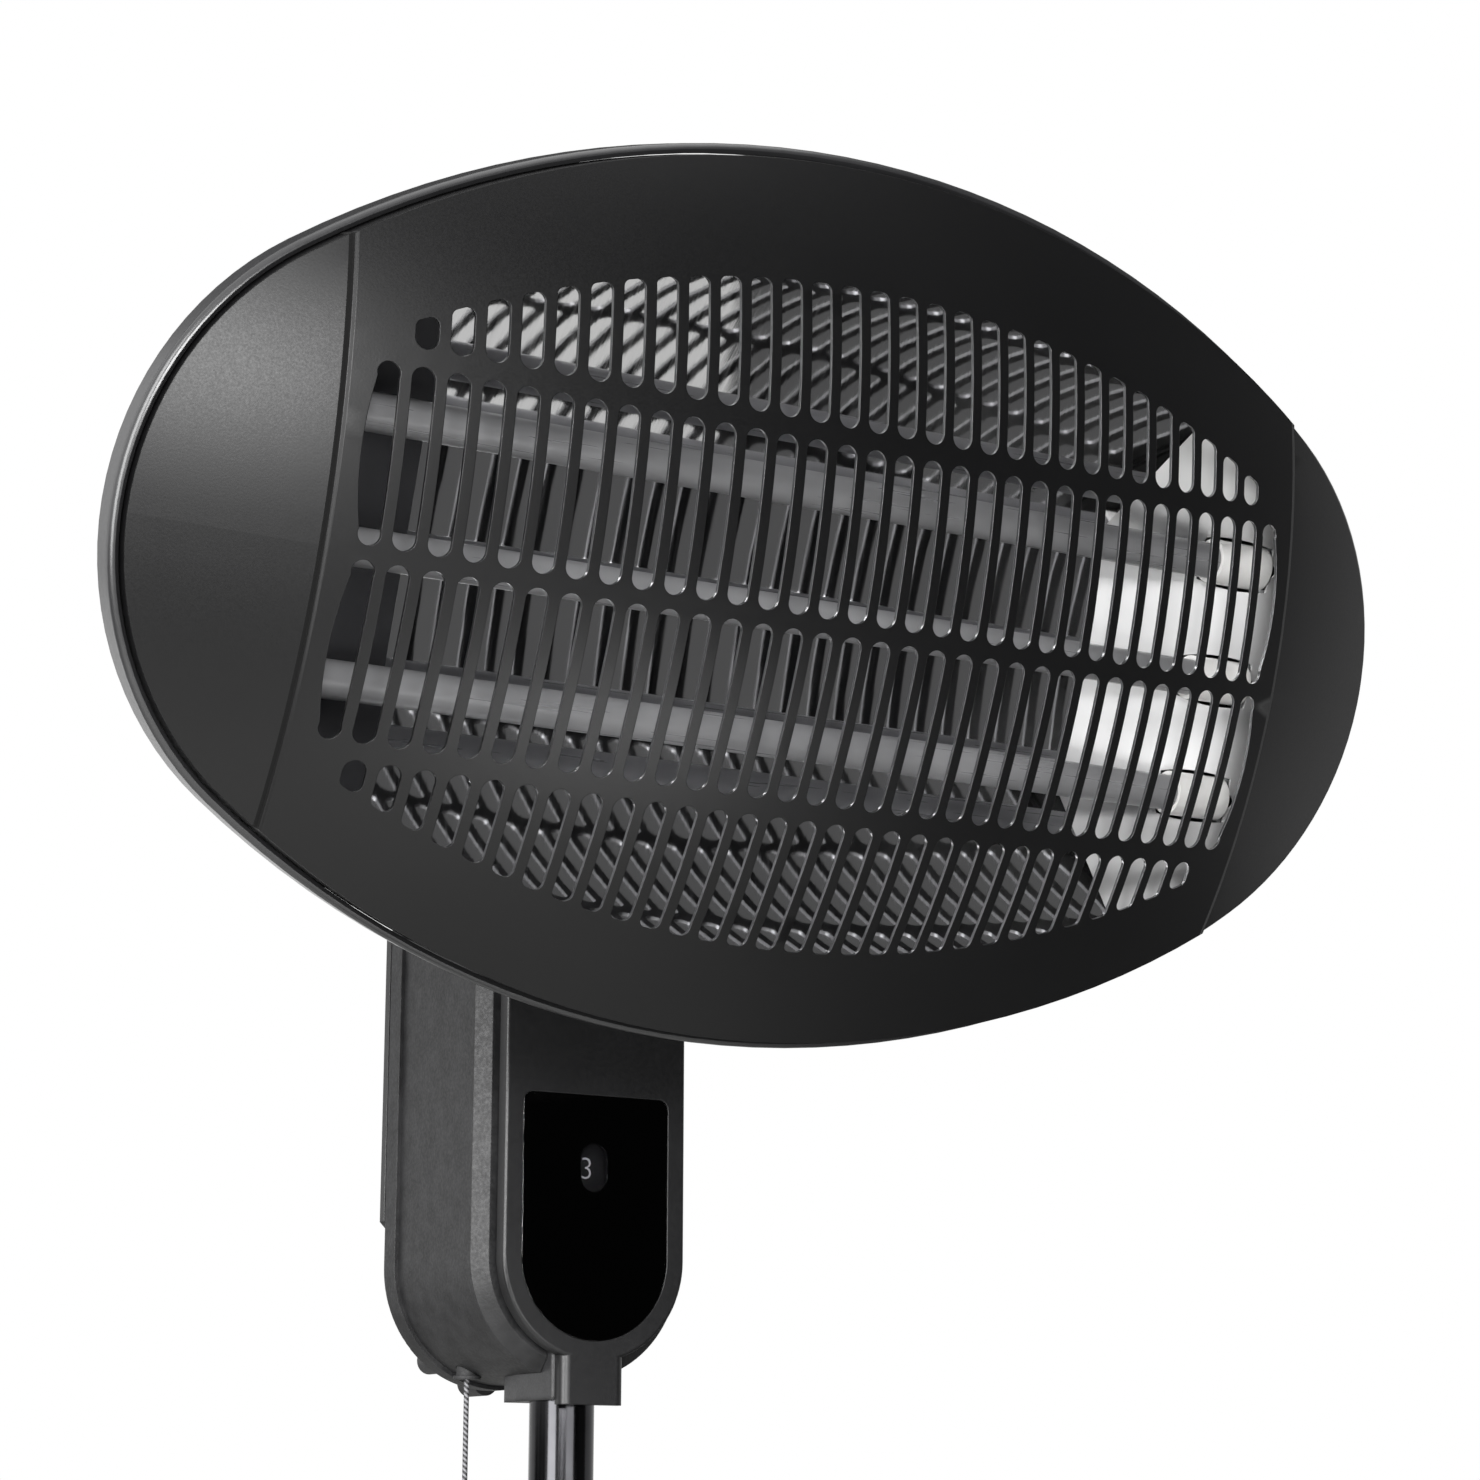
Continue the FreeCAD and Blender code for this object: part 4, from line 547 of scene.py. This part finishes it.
def screwTree(setup):
    tree, start, end = newTree("crossScrew", {
        "Head Radius": "NodeSocketFloat", "Head Height": "NodeSocketFloat", "Slot Width": "NodeSocketFloat",
        "Slot Depth": "NodeSocketFloat", "Slot Length": "NodeSocketFloat", "Steel": "NodeSocketMaterial"})
    ball = addNode(tree, "GeometryNodeMeshUVSphere", {"Segments": setup["segments"], "Rings": setup["rings"],
                                                      "Radius": start.outputs["Head Radius"]})
    squash = addNode(tree, "ShaderNodeMath", {0: start.outputs["Head Height"],
                                              1: start.outputs["Head Radius"]},
                     operation="DIVIDE")
    flat = addNode(tree, "ShaderNodeCombineXYZ", {"X": 1.0, "Y": 1.0, "Z": squash.outputs[0]})
    button = addNode(tree, "GeometryNodeTransform", {"Geometry": ball.outputs[0], "Scale": flat.outputs[0]})
    # two crossed bars whose lower halves cut the recess
    tall = addNode(tree, "ShaderNodeMath", {0: start.outputs["Slot Depth"], 1: 2.0}, operation="MULTIPLY")
    lift = addNode(tree, "ShaderNodeCombineXYZ", {"Z": start.outputs["Head Height"]})
    cutters = []
    for first, second in (("X", "Y"), ("Y", "X")):
        size = addNode(tree, "ShaderNodeCombineXYZ", {first: start.outputs["Slot Width"],
                                                      second: start.outputs["Slot Length"],
                                                      "Z": tall.outputs[0]})
        bar = addNode(tree, "GeometryNodeMeshCube", {"Size": size.outputs[0]})
        cutters.append(addNode(tree, "GeometryNodeTransform", {"Geometry": bar.outputs[0],
                                                               "Translation": lift.outputs[0]}))
    # a block below, its top where the head sits
    wide = addNode(tree, "ShaderNodeMath", {0: start.outputs["Head Radius"], 1: setup["blockShare"]},
                   operation="MULTIPLY")
    blockSize = addNode(tree, "ShaderNodeCombineXYZ", {axis: wide.outputs[0] for axis in "XYZ"})
    drop = addNode(tree, "ShaderNodeMath", {0: wide.outputs[0], 1: -0.5}, operation="MULTIPLY")
    blockDrop = addNode(tree, "ShaderNodeCombineXYZ", {"Z": drop.outputs[0]})
    block = addNode(tree, "GeometryNodeMeshCube", {"Size": blockSize.outputs[0]})
    cutters.append(addNode(tree, "GeometryNodeTransform", {"Geometry": block.outputs[0],
                                                           "Translation": blockDrop.outputs[0]}))
    head = addNode(tree, "GeometryNodeMeshBoolean", {"Mesh 1": button.outputs[0]}, operation="DIFFERENCE")
    for cutter in cutters:
        tree.links.new(cutter.outputs[0], head.inputs["Mesh 2"])
    axis = addNode(tree, "GeometryNodeInputNamedAttribute", {"Name": "along"}, data_type="FLOAT_VECTOR")
    turn = addNode(tree, "FunctionNodeAlignRotationToVector", {"Vector": axis.outputs["Attribute"]}, axis="Z")
    placed = addNode(tree, "GeometryNodeInstanceOnPoints", {"Points": start.outputs["Geometry"],
                                                            "Instance": head.outputs[0],
                                                            "Rotation": turn.outputs[0]})
    real = addNode(tree, "GeometryNodeRealizeInstances", {"Geometry": placed.outputs[0]})
    coated = addNode(tree, "GeometryNodeSetMaterial", {"Geometry": real.outputs[0],
                                                       "Material": start.outputs["Steel"]})
    tree.links.new(coated.outputs[0], end.inputs["Geometry"])
    return tree


def makeScrews(setup):
    tree = screwTree(setup)
    covers = [(Vector(spot) / metre, (0, 1, 0)) for spot in setup["coverMm"]]
    arms = [(Vector(spot) / metre, (0, 0, 1)) for spot in setup["armMm"]]
    yokes = [(headPoint(*spot), headAxis) for spot in setup["yokeMm"]]
    sets = {"coverScrewHeads": (covers, setup["smallMm"], "mast", "cover_screws"),
            "armScrewHeads": (arms, setup["smallMm"], "mast", "arm_screws"),
            "yokeScrewHeads": (yokes, setup["largeMm"], "head", "yoke_screws")}
    for name, (points, (radius, height), body, node) in sets.items():
        item = growPiece(name, points, tree, {
            "Head Radius": radius / metre, "Head Height": height / metre, "Slot Width": setup["slotWidth"],
            "Slot Depth": setup["slotDepth"], "Slot Length": radius / metre * setup["slotShare"],
            "Steel": finishes["blackOxideSteel"]})
        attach(item, body)
        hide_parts(node)
        print(name, len(item.data.polygons), "faces")


makeScrews(screwSetup)

# Figures on the indicator disc, with the 3 in the window
figureSetup = {"figures": "30123012", "heightMm": 7.4, "ringMm": 14.0, "centreMm": (0.0, -17.56, 1239.0),
               "shiftMm": (-1.5, -0.5),
               # a figure's height as a share of the type size, and its strokes' thinning and steps
               "heightShare": 0.69, "thinner": -0.0002, "strokeSteps": 6,
               "ink": "#f2f2f2", "inkRough": (0.5, 0.7), "inkPatchMm": 0.5}


def inkMaterial(setup):
    # Screen-printed ink: flat and slightly uneven in its cover
    low, high = setup["inkRough"]
    material, tree, shader, place = newMaterial("screenPrintInk", setup["ink"], (low + high) / 2)
    cover = addNode(tree, "ShaderNodeTexNoise", {"Vector": place.outputs["Object"],
                                                 "Scale": perMm(setup["inkPatchMm"])})
    rough = addNode(tree, "ShaderNodeMapRange", {"Value": cover.outputs["Fac"], "To Min": low,
                                                 "To Max": high})
    tree.links.new(rough.outputs[0], shader.inputs["Roughness"])
    return material


def makeFigures(setup):
    shape = bmesh.new()
    upright = Matrix.Translation(Vector(setup["centreMm"]) / metre) @ Matrix.Rotation(math.pi / 2, 4, "X")
    shiftX, shiftY = setup["shiftMm"]
    outward = Matrix.Translation((shiftX / metre, (setup["ringMm"] + shiftY) / metre, 0))
    step = 2 * math.pi / len(setup["figures"])
    for count, figure in enumerate(setup["figures"]):
        words = bpy.data.curves.new("figure", "FONT")
        words.body = figure
        words.align_x = "CENTER"
        words.align_y = "CENTER"
        words.size = setup["heightMm"] / metre / setup["heightShare"]
        words.offset = setup["thinner"]
        words.resolution_u = setup["strokeSteps"]
        item = linkObject("figure", words)
        flat = plainMesh(item)
        bpy.data.objects.remove(item)
        flat.transform(upright @ Matrix.Rotation(-count * step, 4, "Z") @ outward)
        shape.from_mesh(flat)
        bpy.data.meshes.remove(flat)
    mesh = bpy.data.meshes.new("dialFigures")
    shape.to_mesh(mesh)
    shape.free()
    mesh.materials.append(inkMaterial(setup))
    return linkObject("dialFigures", mesh)


dialFigures = makeFigures(figureSetup)
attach(dialFigures, "dial")
print("figures printed")

# Floor, lamps and the room around
floorSetup = {"half": 6.0, "colour": "#dcdcda", "rough": (0.6, 0.8), "patchMm": 60.0}
windowPane = ((-1.75, -0.95, 1.52), (0.0, -0.1, 1.40), 1.0, 1.8)
lampSetup = {
    # place, aim, width, height, radiance
    "lamps": {"windowLeft": windowPane + (10.0,),
              "windowVeil": windowPane + (4.0,),
              "softFront": ((-0.92, -2.00, 1.55), (-0.15, -0.15, 1.40), 0.9, 0.50, 28.0),
              "cardLow": ((-0.45, -2.05, 0.80), (0.15, -0.15, 1.40), 1.3, 0.5, 1.3),
              "topSoft": ((0.2, -0.5, 3.2), (0.0, -0.1, 1.3), 1.6, 1.6, 1.0)},
    # the panel would glare when seen from the other side, so it takes the veil's light and not the window's
    "spares": {"windowLeft": "front_grille"}}
# cloths that only reflections see: two opposite corners of each and how light it is
clothSetup = {"clothRightLow": ((0.78, -3.2, 0.0), (0.78, 0.8, 1.12), 0.10),
              "clothRightFar": ((0.78, -3.2, 1.12), (0.78, -1.1, 1.85), 0.02),
              "clothRightNear": ((0.78, -1.1, 1.12), (0.78, -0.35, 1.85), 0.07),
              "clothRightWing": ((0.78, -0.35, 1.12), (0.78, 0.8, 1.85), 0.65),
              "clothRightHigh": ((0.78, -3.2, 1.85), (0.78, 0.8, 3.2), 0.10),
              "clothFront": ((-3.0, -2.7, 0.0), (0.78, -2.7, 3.2), 0.04),
              "clothPole": ((-0.09, -0.45, 1.04), (0.12, -0.45, 1.22), 5.0),
              "clothLeft": ((-2.3, -0.35, 0.0), (-2.3, 2.2, 1.27), 0.04),
              "clothBack": ((-0.9, 2.6, 1.80), (2.5, 2.6, 7.0), 0.06)}
worldSetup = {"fill": 0.28, "white": 1.0}


def stagePlane(name, corners, material):
    mesh = bpy.data.meshes.new(name)
    mesh.from_pydata(corners, [], [(0, 1, 2, 3)])
    mesh.materials.append(material)
    plane = linkObject(name, mesh)
    return plane


def makeFloor(setup):
    # Painted floor: nearly white, with a faint unevenness in its sheen
    low, high = setup["rough"]
    material, tree, shader, place = newMaterial("paleFloor", setup["colour"], (low + high) / 2)
    speck = addNode(tree, "ShaderNodeTexNoise", {"Vector": place.outputs["Object"],
                                                 "Scale": perMm(setup["patchMm"])})
    rough = addNode(tree, "ShaderNodeMapRange", {"Value": speck.outputs["Fac"], "To Min": low,
                                                 "To Max": high})
    tree.links.new(rough.outputs[0], shader.inputs["Roughness"])
    half = setup["half"]
    stagePlane("floor", [(-half, -half, 0), (half, -half, 0), (half, half, 0), (-half, half, 0)], material)


def hangLamps(setup):
    for name, (place, aim, width, height, radiance) in setup["lamps"].items():
        data = bpy.data.lights.new(name, "AREA")
        data.shape = "RECTANGLE"
        data.size, data.size_y = width, height
        data.energy = radiance * math.pi * width * height
        lamp = linkObject(name, data)
        lamp.visible_camera = False
        turn = (Vector(aim) - Vector(place)).to_track_quat("-Z", "Y").to_matrix().to_4x4()
        lamp.matrix_world = Matrix.Translation(place) @ turn
        if name in setup["spares"]:
            spared = bpy.data.collections.new(name + "Spares")
            spared.objects.link(cadNodes[setup["spares"][name]])
            spared.collection_objects[0].light_linking.link_state = "EXCLUDE"
            lamp.light_linking.receiver_collection = spared


def hangCloths(setup):
    for name, (low, high, tone) in setup.items():
        # Plain cloth: one even tone, given off and not lit
        material = bpy.data.materials.new(name)
        material.use_nodes = True
        tree = material.node_tree
        tree.nodes.clear()
        glow = addNode(tree, "ShaderNodeEmission", {"Color": (tone, tone, tone, 1), "Strength": 1.0})
        addNode(tree, "ShaderNodeOutputMaterial", {"Surface": glow.outputs[0]})
        cloth = stagePlane(name, [low, (high[0], high[1], low[2]), high, (low[0], low[1], high[2])], material)
        cloth.visible_camera = cloth.visible_diffuse = cloth.visible_shadow = False


def makeWorld(setup):
    # white behind for the eye and in gloss and glass, a plain grey level for light
    world = bpy.data.worlds.new("studio")
    scene.world = world
    world.use_nodes = True
    tree = world.node_tree
    tree.nodes.clear()
    path = addNode(tree, "ShaderNodeLightPath")
    mirrored = addNode(tree, "ShaderNodeMath", {0: path.outputs["Is Camera Ray"],
                                                1: path.outputs["Is Glossy Ray"]},
                       operation="MAXIMUM")
    seen = addNode(tree, "ShaderNodeMath", {0: mirrored.outputs[0], 1: path.outputs["Is Transmission Ray"]},
                   operation="MAXIMUM")
    level = addNode(tree, "ShaderNodeMapRange", {"Value": seen.outputs[0], "To Min": setup["fill"],
                                                 "To Max": setup["white"]})
    sky = addNode(tree, "ShaderNodeBackground", {"Color": (1, 1, 1, 1), "Strength": level.outputs[0]})
    addNode(tree, "ShaderNodeOutputWorld", {"Surface": sky.outputs[0]})


makeFloor(floorSetup)
hangLamps(lampSetup)
hangCloths(clothSetup)
makeWorld(worldSetup)
scene.view_settings.view_transform = "Standard"
print("room lit")
